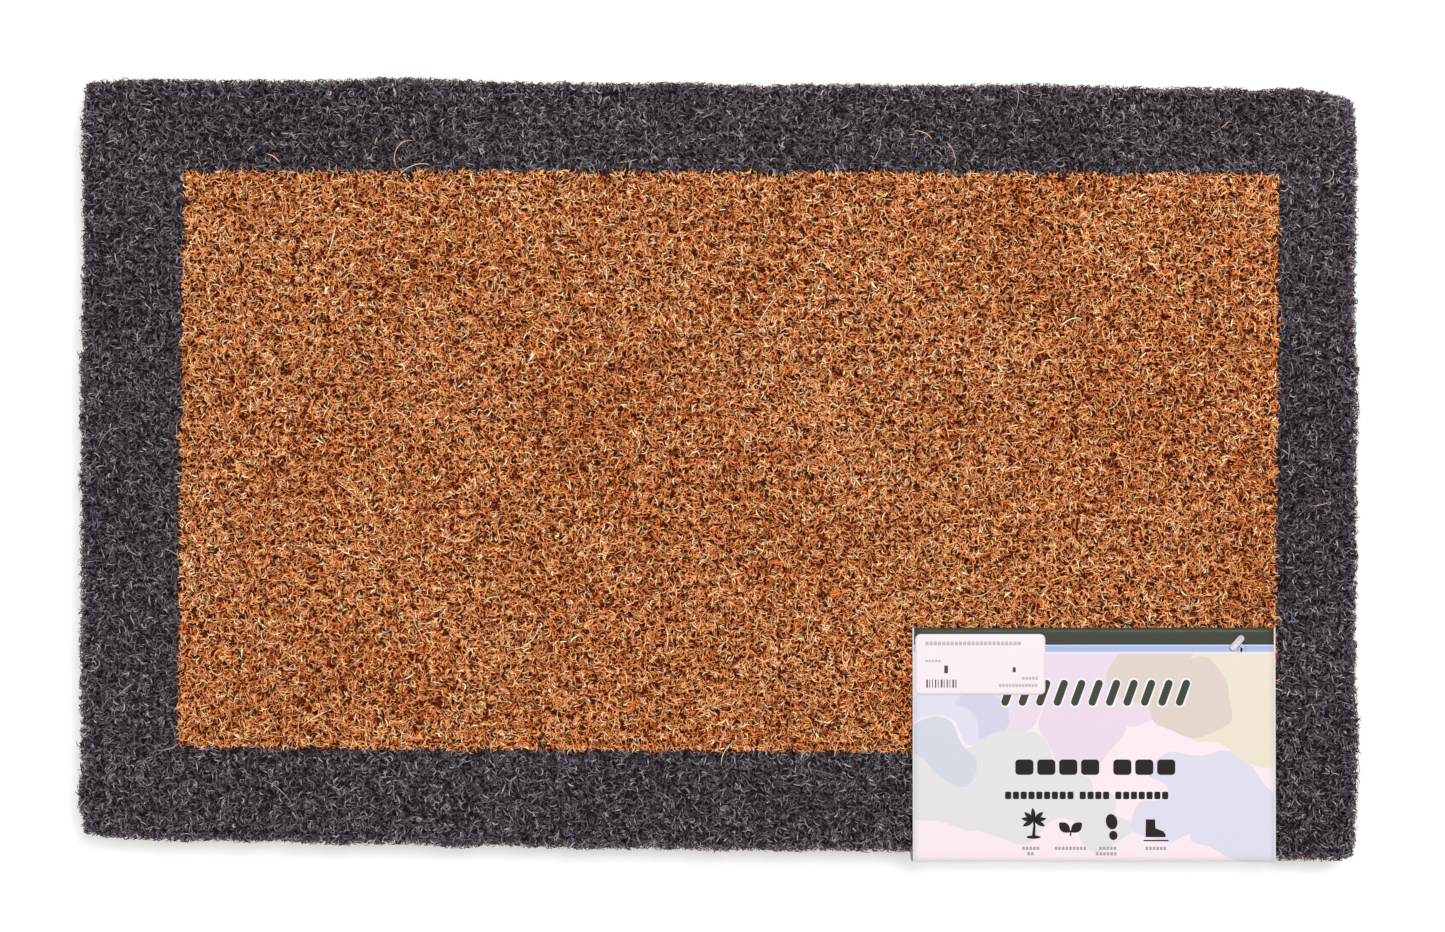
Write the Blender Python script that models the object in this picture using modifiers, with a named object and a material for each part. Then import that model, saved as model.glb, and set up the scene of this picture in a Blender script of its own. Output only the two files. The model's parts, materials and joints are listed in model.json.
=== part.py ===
"""A hand-woven coir door mat with a dyed border, in the card wrap it is sold in.

Metres, +Z up. X runs along the mat's long side, Y from its front edge to its back edge.
The origin is at the middle of the mat's underside, on the floor.

From the floor up: warp chains, the woven ground that lies in them, its two hems with their lashing,
and the cut pile in five regions. A folded card wraps the front edge, and a tag pin holds it.
"""

import math

import bmesh
import bpy
from mathutils import Matrix, Vector

MM = 0.001

# ---- Driving dimensions ----

# The mat's outer size, measured over the pile.
MAT_LENGTH = 750 * MM
MAT_WIDTH = 450 * MM
PILE_TOP = 22 * MM

# The gap kept between pieces that touch.
GAP = 0.3 * MM

# Warp chains: thick flattened coir yarns that run from hem to hem on the underside.
CHAIN_COUNT = 25
CHAIN_WIDTH = 9 * MM
CHAIN_HEIGHT = 4.8 * MM
CHAIN_ROUND = 1.5 * MM
CHAIN_SIDE_INSET = 15 * MM

# The ground: one weft yarn, woven to and fro over the chains, which turns at the two sides.
GROUND_THICKNESS = 4 * MM
GROUND_SIDE_INSET = 4 * MM
GROUND_END_INSET = 9.3 * MM
ROW_COUNT = 60
ROW_TURN_DEPTH = 1.2 * MM
ROW_TURN_POINTS = 3

# The hems: a cord along the front and the back edge, lashed to the ground with twine.
HEM_CORD_RADIUS = 2 * MM
HEM_END_INSET = 6 * MM
TWINE_RADIUS = 0.6 * MM
TWINE_BEND = 0.5 * MM
LACE_HOLE_INSET = 3.7 * MM

# The pile's plan: how wide the dyed border is at each corner of the undyed centre.
BORDER_LEFT_AT_BACK = 60.5 * MM
BORDER_LEFT_AT_FRONT = 57 * MM
BORDER_RIGHT_AT_BACK = 45 * MM
BORDER_RIGHT_AT_FRONT = 48.5 * MM
BORDER_BACK_AT_LEFT = 53 * MM
BORDER_BACK_AT_RIGHT = 50.5 * MM
BORDER_FRONT_AT_LEFT = 57.5 * MM
BORDER_FRONT_AT_RIGHT = 58 * MM
CORNER_RADIUS = 6 * MM
PILE_EDGE_ROUND = 4 * MM

# The card: one sheet of about A4 size, folded twice round the mat's front edge and turned a little from square.
CARD_WIDTH = 212 * MM
CARD_SHEET_LENGTH = 297 * MM
CARD_THICKNESS = 0.4 * MM
CARD_BACK_BOTTOM = 1.1 * MM
CARD_FOLD_RADIUS = 1.2 * MM
CARD_FOLD_POINTS = 3
CARD_FOLD_CLEARANCE = 4 * MM
CARD_TURN = math.radians(0.5)

# The price sticker, set in from the card's left and top edges.
STICKER_WIDTH = 76 * MM
STICKER_HEIGHT = 35.5 * MM
STICKER_THICKNESS = 0.15 * MM
STICKER_CORNER = 3 * MM
STICKER_SIDE_INSET = 1.6 * MM
STICKER_TOP_INSET = 3.6 * MM

# The tag pin: a paddle on the card, a neck to the filament that goes through everything, and a bar below.
# Its gap in the chains is counted from the left, and the filament stands off that gap's middle.
PIN_CHAIN_GAP = 23
PIN_OFF_MIDDLE = -7.4 * MM
PIN_SIDE_INSET = 19.6 * MM
PIN_TOP_INSET = 11.4 * MM
PADDLE_LENGTH = 10.5 * MM
PADDLE_WIDTH = 3.8 * MM
PADDLE_THICKNESS = 1.2 * MM
PADDLE_OFFSET = 4 * MM
PADDLE_TURN = math.radians(48)
NECK_RADIUS = 0.45 * MM
FILAMENT_RADIUS = 0.35 * MM
FILAMENT_SIDES = 8
BAR_LENGTH = 9 * MM
BAR_RADIUS = 0.35 * MM
NEEDLE_HOLE = 1.4 * MM
NEEDLE_SLIT = 4 * MM

# ---- Sizes that follow ----

HALF_LENGTH = MAT_LENGTH / 2
HALF_WIDTH = MAT_WIDTH / 2
HEM_CORD_PROUD = max(0, HEM_CORD_RADIUS - GROUND_THICKNESS / 2)
CARD_BACK_TOP = CARD_BACK_BOTTOM + CARD_THICKNESS
# The ground lies as high as the card's back panel and the lashing that runs over it need.
GROUND_BOTTOM = CARD_BACK_TOP + GAP + 2 * TWINE_RADIUS + GAP + HEM_CORD_PROUD
GROUND_TOP = GROUND_BOTTOM + GROUND_THICKNESS
PILE_BOTTOM = GROUND_TOP + GAP
CHAIN_PITCH = (MAT_LENGTH - 2 * CHAIN_SIDE_INSET) / (CHAIN_COUNT - 1)
GROUND_FRONT = -HALF_WIDTH + GROUND_END_INSET
HEM_CORD_Y = HALF_WIDTH - GROUND_END_INSET + GAP + HEM_CORD_RADIUS
HEM_CORD_Z = GROUND_BOTTOM + GROUND_THICKNESS / 2
TWINE_OUTER_Y = HEM_CORD_Y + HEM_CORD_RADIUS + GAP + TWINE_RADIUS
TWINE_INNER_Y = HALF_WIDTH - GROUND_END_INSET - LACE_HOLE_INSET
TWINE_LOW_Z = GROUND_BOTTOM - HEM_CORD_PROUD - GAP - TWINE_RADIUS
TWINE_HIGH_Z = GROUND_TOP + HEM_CORD_PROUD + GAP + TWINE_RADIUS
REBATE_TOP = TWINE_HIGH_Z + TWINE_RADIUS + GAP
REBATE_Y = TWINE_INNER_Y - TWINE_RADIUS - GAP
CARD_FRONT_TOP = PILE_TOP + GAP + CARD_THICKNESS
CARD_SPINE = CARD_FRONT_TOP - CARD_BACK_BOTTOM
CARD_PANEL = (CARD_SHEET_LENGTH - CARD_SPINE) / 2
STICKER_BOTTOM = CARD_FRONT_TOP + GAP
PADDLE_BOTTOM = CARD_FRONT_TOP + GAP
BAR_Z = CARD_BACK_BOTTOM - GAP - BAR_RADIUS
PIN_X = -HALF_LENGTH + CHAIN_SIDE_INSET + (PIN_CHAIN_GAP - 0.5) * CHAIN_PITCH + PIN_OFF_MIDDLE
CARD_FOLD_Y = -HALF_WIDTH - CARD_FOLD_CLEARANCE - CARD_THICKNESS
PIN_Y = CARD_FOLD_Y + CARD_PANEL - PIN_TOP_INSET
# The card is made square, with its zero at the pin, then turned about the pin.
CARD_RIGHT = PIN_SIDE_INSET
CARD_LEFT = CARD_RIGHT - CARD_WIDTH
CARD_TOP = PIN_TOP_INSET
CARD_PLACE = Matrix.Translation((PIN_X, PIN_Y, 0)) @ Matrix.Rotation(CARD_TURN, 4, "Z")
CUT_MARGIN = 2 * MM


# ---- Scene and materials ----


def clear_scene():
    for old in list(bpy.data.objects):
        bpy.data.objects.remove(old, do_unlink=True)


def new_collection(name):
    collection = bpy.data.collections.new(name)
    bpy.context.scene.collection.children.link(collection)
    return collection


def material(name, color, roughness):
    made = bpy.data.materials.new(name)
    made.use_nodes = True
    shader = made.node_tree.nodes["Principled BSDF"]
    shader.inputs["Base Color"].default_value = (*color, 1)
    shader.inputs["Roughness"].default_value = roughness
    shader.inputs["Metallic"].default_value = 0
    return made


clear_scene()
PARTS = new_collection("door_mat")
CUTTERS = new_collection("door_mat_cutters")
MAT_EMPTY = bpy.data.objects.new("mat_frame", None)
PARTS.objects.link(MAT_EMPTY)

UNDYED_PILE = material("coir_pile_natural", (0.40, 0.16, 0.05), 0.9)
DYED_PILE = material("coir_pile_black", (0.06, 0.05, 0.06), 0.9)
WEFT = material("coir_weft", (0.52, 0.36, 0.19), 0.9)
WARP = material("coir_warp", (0.45, 0.28, 0.13), 0.9)
HEM = material("coir_hem", (0.50, 0.37, 0.21), 0.9)
TWINE = material("lashing_twine", (0.62, 0.55, 0.40), 0.85)
CARD = material("printed_card", (0.75, 0.70, 0.78), 0.45)
STICKER = material("sticker_paper", (0.88, 0.80, 0.80), 0.5)
PIN = material("tag_pin_plastic", (0.45, 0.45, 0.43), 0.35)


# ---- Modelling helpers ----


def mesh_object(name, bm, collection=None):
    mesh = bpy.data.meshes.new(name)
    bmesh.ops.recalc_face_normals(bm, faces=bm.faces)
    bm.to_mesh(mesh)
    bm.free()
    made = bpy.data.objects.new(name, mesh)
    (collection or PARTS).objects.link(made)
    return made


def part(made, finish, parent=MAT_EMPTY):
    """Gives a finished object its material and its place in the mat's frame."""
    made.data.materials.clear()
    made.data.materials.append(finish)
    made.parent = parent
    return made


def add_box(bm, low, high, place=Matrix.Identity(4)):
    """Adds a box between two corners, and returns its points."""
    low, high = Vector(low), Vector(high)
    size = high - low
    fit = place @ Matrix.Translation((low + high) / 2) @ Matrix.Diagonal((*size, 1))
    return bmesh.ops.create_cube(bm, size=1, matrix=fit)["verts"]


def box_cutter(name, boxes, place=Matrix.Identity(4)):
    """One hidden cutter that holds boxes which don't meet."""
    bm = bmesh.new()
    for low, high in boxes:
        add_box(bm, low, high, place)
    cutter = mesh_object(name, bm, CUTTERS)
    cutter.hide_render = True
    cutter.display_type = "WIRE"
    return cutter


def boolean(made, cutter, operation="DIFFERENCE"):
    step = made.modifiers.new(cutter.name, "BOOLEAN")
    step.operation = operation
    step.object = cutter


def prism(name, outline, bottom, top):
    """An upright solid on a closed outline of (x, y) points."""
    bm = bmesh.new()
    floor = bm.faces.new([bm.verts.new((x, y, bottom)) for x, y in outline])
    raised = bmesh.ops.extrude_face_region(bm, geom=[floor])["geom"]
    lifted = [item for item in raised if isinstance(item, bmesh.types.BMVert)]
    bmesh.ops.translate(bm, vec=(0, 0, top - bottom), verts=lifted)
    return mesh_object(name, bm)


def rounded_bar(name, length, width, height, rounding):
    """A bar along Y, centred on its own origin, with its long edges rounded and a flat face below."""
    bm = bmesh.new()
    add_box(bm, (-width / 2, -length / 2, 0), (width / 2, length / 2, height))
    long_edges = [edge for edge in bm.edges if abs((edge.verts[0].co - edge.verts[1].co).y) > length / 2]
    bmesh.ops.bevel(bm, geom=long_edges, offset=rounding, segments=2, profile=0.5, affect="EDGES")
    return mesh_object(name, bm)


def round_rod(name, start, end, radius, sides, collection=None):
    """A straight rod between two points."""
    start, end = Vector(start), Vector(end)
    run = end - start
    turn = run.to_track_quat("Z", "Y").to_matrix().to_4x4()
    bm = bmesh.new()
    bmesh.ops.create_cone(
        bm,
        cap_ends=True,
        segments=sides,
        radius1=radius,
        radius2=radius,
        depth=run.length,
        matrix=Matrix.Translation((start + end) / 2) @ turn,
    )
    return mesh_object(name, bm, collection)


def tube(name, points, radius):
    """A tube along a run of points."""
    curve = bpy.data.curves.new(name, "CURVE")
    curve.dimensions = "3D"
    curve.bevel_depth = radius
    curve.bevel_resolution = 1
    curve.use_fill_caps = True
    spline = curve.splines.new("POLY")
    spline.points.add(len(points) - 1)
    for place, point in zip(spline.points, points):
        place.co = (*point, 1)
    made = bpy.data.objects.new(name, curve)
    PARTS.objects.link(made)
    return made


# ---- Warp chains ----


def chain_x(index):
    return -HALF_LENGTH + CHAIN_SIDE_INSET + index * CHAIN_PITCH


def card_notch():
    """The room that the soft chains leave for the card's back panel and the pin's bar."""
    low = (CARD_LEFT - GAP, CARD_TOP - CARD_PANEL - CUT_MARGIN - CARD_FOLD_CLEARANCE, -CUT_MARGIN)
    high = (CARD_RIGHT + GAP, CARD_TOP + GAP, CARD_BACK_TOP + GAP)
    return box_cutter("card_notch", [(low, high)], CARD_PLACE)


def make_chains():
    notch = card_notch()
    reach = CARD_WIDTH * abs(math.sin(CARD_TURN)) + CHAIN_WIDTH
    for index in range(CHAIN_COUNT):
        length = 2 * abs(GROUND_FRONT)
        chain = rounded_bar(f"warp_chain_{index + 1:02d}", length, CHAIN_WIDTH, CHAIN_HEIGHT, CHAIN_ROUND)
        chain.location = (chain_x(index), 0, 0)
        part(chain, WARP)
        if PIN_X + CARD_LEFT - reach < chain_x(index) < PIN_X + CARD_RIGHT + reach:
            boolean(chain, notch)


# ---- Woven ground ----


def side_turns():
    """The right side of the ground from front to back: one lump where each weft row turns."""
    steps = ROW_COUNT * ROW_TURN_POINTS
    points = []
    for step in range(steps + 1):
        share = step / steps
        lump = abs(math.sin(math.pi * share * ROW_COUNT))
        x = HALF_LENGTH - GROUND_SIDE_INSET - ROW_TURN_DEPTH * (1 - lump)
        points.append((x, GROUND_FRONT + share * 2 * abs(GROUND_FRONT)))
    return points


def stitch_x(index):
    return chain_x(index) + CHAIN_PITCH / 2


def pin_hole(name, half_x, half_y, low, high):
    """A hole for the tag pin, turned with the card."""
    return box_cutter(name, [((-half_x, -half_y, low), (half_x, half_y, high))], CARD_PLACE)


def make_ground():
    right = side_turns()
    left = [(-x, y) for x, y in reversed(right)]
    ground = part(prism("weft_ground", right + left, GROUND_BOTTOM, GROUND_TOP), WEFT)
    groove_half = CHAIN_WIDTH / 2 + GAP
    groove_end = HALF_WIDTH
    grooves = []
    for index in range(CHAIN_COUNT):
        low = (chain_x(index) - groove_half, -groove_end, GROUND_BOTTOM - CUT_MARGIN)
        high = (chain_x(index) + groove_half, groove_end, CHAIN_HEIGHT + GAP)
        grooves.append((low, high))
    boolean(ground, box_cutter("chain_grooves", grooves))
    hole_half = TWINE_RADIUS + GAP
    holes = []
    for index in range(CHAIN_COUNT - 1):
        for y in (-TWINE_INNER_Y, TWINE_INNER_Y):
            low = (stitch_x(index) - hole_half, y - hole_half, GROUND_BOTTOM - CUT_MARGIN)
            high = (stitch_x(index) + hole_half, y + hole_half, GROUND_TOP + CUT_MARGIN)
            holes.append((low, high))
    boolean(ground, box_cutter("lace_holes", holes))
    half = NEEDLE_HOLE / 2
    boolean(ground, pin_hole("ground_pin_hole", half, half, GROUND_BOTTOM - CUT_MARGIN, GROUND_TOP + CUT_MARGIN))


# ---- Hems ----


def lashing_points(side):
    """Stitches round the hem cord: down through the ground, under the cord, up, and over to the next hole."""
    inner, outer, bend = TWINE_INNER_Y, TWINE_OUTER_Y, TWINE_BEND
    loop = [
        (inner - bend, TWINE_HIGH_Z),
        (inner, TWINE_HIGH_Z - bend),
        (inner, TWINE_LOW_Z + bend),
        (inner + bend, TWINE_LOW_Z),
        (outer - bend, TWINE_LOW_Z),
        (outer, TWINE_LOW_Z + bend),
        (outer, TWINE_HIGH_Z - bend),
        (outer - bend, TWINE_HIGH_Z),
    ]
    points = []
    for index in range(CHAIN_COUNT - 1):
        # The strand that comes from the last stitch arrives along the mat, from the outer side.
        arriving = [(stitch_x(index) - bend, side * (inner + bend), TWINE_HIGH_Z)]
        down_and_up = [(stitch_x(index), side * y, z) for y, z in loop[1:]]
        points += arriving + down_and_up
    return points


def make_hem(name, side):
    half = HALF_LENGTH - HEM_END_INSET
    y = side * HEM_CORD_Y
    cord = round_rod(f"hem_cord_{name}", (-half, y, HEM_CORD_Z), (half, y, HEM_CORD_Z), HEM_CORD_RADIUS, 12)
    part(cord, HEM)
    part(tube(f"hem_twine_{name}", lashing_points(side), TWINE_RADIUS), TWINE)


# ---- Cut pile ----


def field_corner(side_x, side_y, outward):
    """A corner of the undyed centre, moved by half the gap between the pile's regions."""
    across = {
        (-1, 1): (BORDER_LEFT_AT_BACK, BORDER_BACK_AT_LEFT),
        (-1, -1): (BORDER_LEFT_AT_FRONT, BORDER_FRONT_AT_LEFT),
        (1, 1): (BORDER_RIGHT_AT_BACK, BORDER_BACK_AT_RIGHT),
        (1, -1): (BORDER_RIGHT_AT_FRONT, BORDER_FRONT_AT_RIGHT),
    }[(side_x, side_y)]
    shift = outward * GAP / 2
    return (side_x * (HALF_LENGTH - across[0] + shift), side_y * (HALF_WIDTH - across[1] + shift))


def soften(made, on_outer_side, corner_sign):
    """Rounds the outer top edge of a border, and its two corners in plan where it has them."""
    bm = bmesh.new()
    bm.from_mesh(made.data)
    if corner_sign:
        corners = [
            edge
            for edge in bm.edges
            if abs(edge.verts[0].co.z - edge.verts[1].co.z) > GAP
            and all(abs(abs(v.co.x) - HALF_LENGTH) < GAP / 2 for v in edge.verts)
            and all(abs(v.co.y - corner_sign * HALF_WIDTH) < GAP / 2 for v in edge.verts)
        ]
        bmesh.ops.bevel(bm, geom=corners, offset=CORNER_RADIUS, segments=4, profile=0.5, affect="EDGES")
    top = [
        edge
        for edge in bm.edges
        if all(v.co.z > PILE_TOP - GAP and on_outer_side(v.co) for v in edge.verts)
    ]
    bmesh.ops.bevel(bm, geom=top, offset=PILE_EDGE_ROUND, segments=2, profile=0.5, affect="EDGES")
    bmesh.ops.recalc_face_normals(bm, faces=bm.faces)
    bm.to_mesh(made.data)
    bm.free()


def hem_rebate(name, side):
    """The step under the pile's edge that the hem and its lashing lie in."""
    ends = sorted((side * REBATE_Y, side * (HALF_WIDTH + CUT_MARGIN)))
    low = (-HALF_LENGTH - CUT_MARGIN, ends[0], PILE_BOTTOM - CUT_MARGIN)
    high = (HALF_LENGTH + CUT_MARGIN, ends[1], REBATE_TOP)
    return box_cutter(name, [(low, high)])


def make_pile():
    corners = [(-1, -1), (1, -1), (1, 1), (-1, 1)]
    centre = prism("pile_centre", [field_corner(x, y, -1) for x, y in corners], PILE_BOTTOM, PILE_TOP)
    part(centre, UNDYED_PILE)
    half = NEEDLE_HOLE / 2
    boolean(centre, pin_hole("pile_pin_hole", half, half, PILE_BOTTOM - CUT_MARGIN, PILE_TOP + CUT_MARGIN))

    for name, side in (("front", -1), ("back", 1)):
        left, right = field_corner(-1, side, 1), field_corner(1, side, 1)
        edge_y = side * HALF_WIDTH
        outline = [
            (-HALF_LENGTH, edge_y),
            (HALF_LENGTH, edge_y),
            (HALF_LENGTH, right[1]),
            right,
            left,
            (-HALF_LENGTH, left[1]),
        ]
        border = part(prism(f"pile_border_{name}", outline, PILE_BOTTOM, PILE_TOP), DYED_PILE)
        # The outer side is all that lies past the lines of the centre's corners.
        soften(border, lambda co: abs(co.y) > HALF_WIDTH - CORNER_RADIUS - GAP, side)
        boolean(border, hem_rebate(f"rebate_{name}", side))

    for name, side in (("left", -1), ("right", 1)):
        front, back = field_corner(side, -1, 1), field_corner(side, 1, 1)
        low_y, high_y = front[1] + GAP, back[1] - GAP
        edge_x = side * HALF_LENGTH
        outline = [(edge_x, low_y), (front[0], low_y), (back[0], high_y), (edge_x, high_y)]
        border = part(prism(f"pile_border_{name}", outline, PILE_BOTTOM, PILE_TOP), DYED_PILE)
        soften(border, lambda co: abs(abs(co.x) - HALF_LENGTH) < GAP / 2, 0)


# ---- Card and sticker ----


def fold_profile():
    """The card's outer face in the YZ plane, from the front panel's edge round the fold to the back's."""
    fold_y = CARD_TOP - CARD_PANEL
    radius = CARD_FOLD_RADIUS
    points = [(CARD_TOP, CARD_FRONT_TOP)]
    for centre_z, start in ((CARD_FRONT_TOP - radius, 90), (CARD_BACK_BOTTOM + radius, 180)):
        for step in range(CARD_FOLD_POINTS + 1):
            angle = math.radians(start + 90 * step / CARD_FOLD_POINTS)
            points.append((fold_y + radius + radius * math.cos(angle), centre_z + radius * math.sin(angle)))
    points.append((CARD_TOP, CARD_BACK_BOTTOM))
    return points


def make_card():
    bm = bmesh.new()
    rows = [
        [bm.verts.new((x, y, z)) for y, z in fold_profile()]
        for x in (CARD_LEFT, CARD_RIGHT)
    ]
    for near, far, near_next, far_next in zip(rows[0], rows[1], rows[0][1:], rows[1][1:]):
        bm.faces.new((near, near_next, far_next, far))
    mesh = bpy.data.meshes.new("label_card")
    bm.to_mesh(mesh)
    bm.free()
    card = bpy.data.objects.new("label_card", mesh)
    PARTS.objects.link(card)
    card.matrix_basis = CARD_PLACE
    thicken = card.modifiers.new("thickness", "SOLIDIFY")
    thicken.thickness = CARD_THICKNESS
    # The profile is the card's outer face, and the thickness goes in from it.
    thicken.offset = -1
    thicken.use_even_offset = True
    half_x, half_y = NEEDLE_HOLE / 2, NEEDLE_SLIT / 2
    boolean(card, pin_hole("card_slit", half_x, half_y, -CUT_MARGIN, CARD_FRONT_TOP + CUT_MARGIN))
    part(card, CARD)


def make_sticker():
    left = CARD_LEFT + STICKER_SIDE_INSET
    top = CARD_TOP - STICKER_TOP_INSET
    bm = bmesh.new()
    low = (left, top - STICKER_HEIGHT, STICKER_BOTTOM)
    high = (left + STICKER_WIDTH, top, STICKER_BOTTOM + STICKER_THICKNESS)
    add_box(bm, low, high)
    upright = [edge for edge in bm.edges if abs(edge.verts[0].co.z - edge.verts[1].co.z) > GAP / 3]
    bmesh.ops.bevel(bm, geom=upright, offset=STICKER_CORNER, segments=4, profile=0.5, affect="EDGES")
    sticker = mesh_object("price_sticker", bm)
    sticker.matrix_basis = CARD_PLACE
    part(sticker, STICKER)


# ---- Tag pin ----


def make_tag_pin():
    """The pin turns on its filament, so its parent empty stands on that axis."""
    axis = bpy.data.objects.new("tag_pin_axis", None)
    PARTS.objects.link(axis)
    axis.location = (PIN_X, PIN_Y, 0)
    axis.parent = MAT_EMPTY

    bm = bmesh.new()
    paddle_place = Matrix.Rotation(PADDLE_TURN, 4, "Z") @ Matrix.Translation((0, PADDLE_OFFSET, 0))
    low = (-PADDLE_LENGTH / 2, -PADDLE_WIDTH / 2, PADDLE_BOTTOM)
    high = (PADDLE_LENGTH / 2, PADDLE_WIDTH / 2, PADDLE_BOTTOM + PADDLE_THICKNESS)
    add_box(bm, low, high, paddle_place)
    bmesh.ops.bevel(bm, geom=bm.edges[:], offset=PADDLE_THICKNESS / 4, segments=1, affect="EDGES")
    pin = mesh_object("tag_pin", bm)
    part(pin, PIN, axis)

    turn = Matrix.Rotation(PADDLE_TURN, 3, "Z")
    foot = Vector((0, 0, BAR_Z))
    head = Vector((0, 0, PADDLE_BOTTOM + PADDLE_THICKNESS / 2))
    reach = turn @ Vector((BAR_LENGTH / 2, 0, 0))
    # The rods run a little past each other, so that the union has a clear overlap.
    past_neck = Vector((0, 0, NECK_RADIUS / 2))
    behind = turn @ Vector((0, -2 * FILAMENT_RADIUS, 0))
    paddle_centre = turn @ Vector((0, PADDLE_OFFSET, 0))
    neck = round_rod("pin_neck", head + behind, head + paddle_centre, NECK_RADIUS, FILAMENT_SIDES, CUTTERS)
    filament = round_rod("pin_filament", foot, head + past_neck, FILAMENT_RADIUS, FILAMENT_SIDES, CUTTERS)
    bar = round_rod("pin_bar", foot - reach, foot + reach, BAR_RADIUS, FILAMENT_SIDES, CUTTERS)
    for piece in (neck, filament, bar):
        piece.hide_render = True
        piece.display_type = "WIRE"
        piece.parent = axis
        boolean(pin, piece, "UNION")


make_chains()
make_ground()
make_hem("front", -1)
make_hem("back", 1)
make_pile()
make_card()
make_sticker()
make_tag_pin()
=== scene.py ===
"""The looks of the coir door mat: its curled pile, yarns and hems, printed card, sticker and tag pin.

Everything is in metres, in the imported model's frame: X along the mat, Y to its back edge, Z up.
"""

import json
import math

import bpy
import numpy as np
from mathutils import Matrix, Vector


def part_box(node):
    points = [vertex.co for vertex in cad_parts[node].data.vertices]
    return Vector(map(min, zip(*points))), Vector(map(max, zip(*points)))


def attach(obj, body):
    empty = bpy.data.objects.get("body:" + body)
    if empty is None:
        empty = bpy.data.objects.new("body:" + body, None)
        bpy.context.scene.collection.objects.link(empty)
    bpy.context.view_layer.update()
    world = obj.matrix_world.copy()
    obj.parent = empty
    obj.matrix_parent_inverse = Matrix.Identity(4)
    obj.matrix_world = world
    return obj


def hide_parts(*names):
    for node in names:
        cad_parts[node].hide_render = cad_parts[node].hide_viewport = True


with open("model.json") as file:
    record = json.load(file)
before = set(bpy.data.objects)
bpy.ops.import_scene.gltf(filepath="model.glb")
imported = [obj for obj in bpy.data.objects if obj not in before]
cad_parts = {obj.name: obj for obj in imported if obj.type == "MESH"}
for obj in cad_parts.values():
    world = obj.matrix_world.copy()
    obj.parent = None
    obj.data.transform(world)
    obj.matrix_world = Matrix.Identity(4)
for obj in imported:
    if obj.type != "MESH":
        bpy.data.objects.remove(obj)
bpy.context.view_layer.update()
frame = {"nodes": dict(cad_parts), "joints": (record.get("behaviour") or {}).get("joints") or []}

MM = 0.001
MAT_BODY = "mat"
PIN_BODY = "tag_pin"
BAKE_MAP = "OFBake"

# ---- Places that come from the frame ----

PILE_LOW, PILE_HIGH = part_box("pile_centre")
PILE_FOOT = PILE_LOW.z
PILE_TOP = PILE_HIGH.z
_, BACK_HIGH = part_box("pile_border_back")
HALF_LENGTH = BACK_HIGH.x
HALF_WIDTH = BACK_HIGH.y
GROUND_LOW, GROUND_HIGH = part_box("weft_ground")
CARD_LOW, CARD_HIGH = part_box("label_card")
PIN_JOINT = next(joint for joint in frame["joints"] if joint["name"] == "tag_pin_swivel")
PIN_X, PIN_Y, _ = PIN_JOINT["pos_m"]


def node_points(name):
    """The corner points of a CAD node's mesh."""
    mesh = frame["nodes"][name].data
    points = np.empty(len(mesh.vertices) * 3, np.float32)
    mesh.vertices.foreach_get("co", points)
    return points.reshape(-1, 3).astype(float)


def extreme(points, x, y):
    """The plan position of the point that lies furthest towards (x, y)."""
    return points[np.argmax(points[:, 0] * x + points[:, 1] * y), :2]


# The undyed centre's corners, in the order front left, front right, back right, back left.
FIELD = [extreme(node_points("pile_centre"), x, y) for x, y in ((-1, -1), (1, -1), (1, 1), (-1, 1))]


# ---- Node helpers ----


def linear(color):
    """Screen colour, 0 to 255, as Blender's linear colour."""
    shares = [channel / 255 for channel in color]
    flat = [c / 12.92 if c <= 0.04045 else ((c + 0.055) / 1.055) ** 2.4 for c in shares]
    return (*flat, 1)


# The share of light that white paper and white plastic send back.
PAPER_WHITE = 0.87


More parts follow.
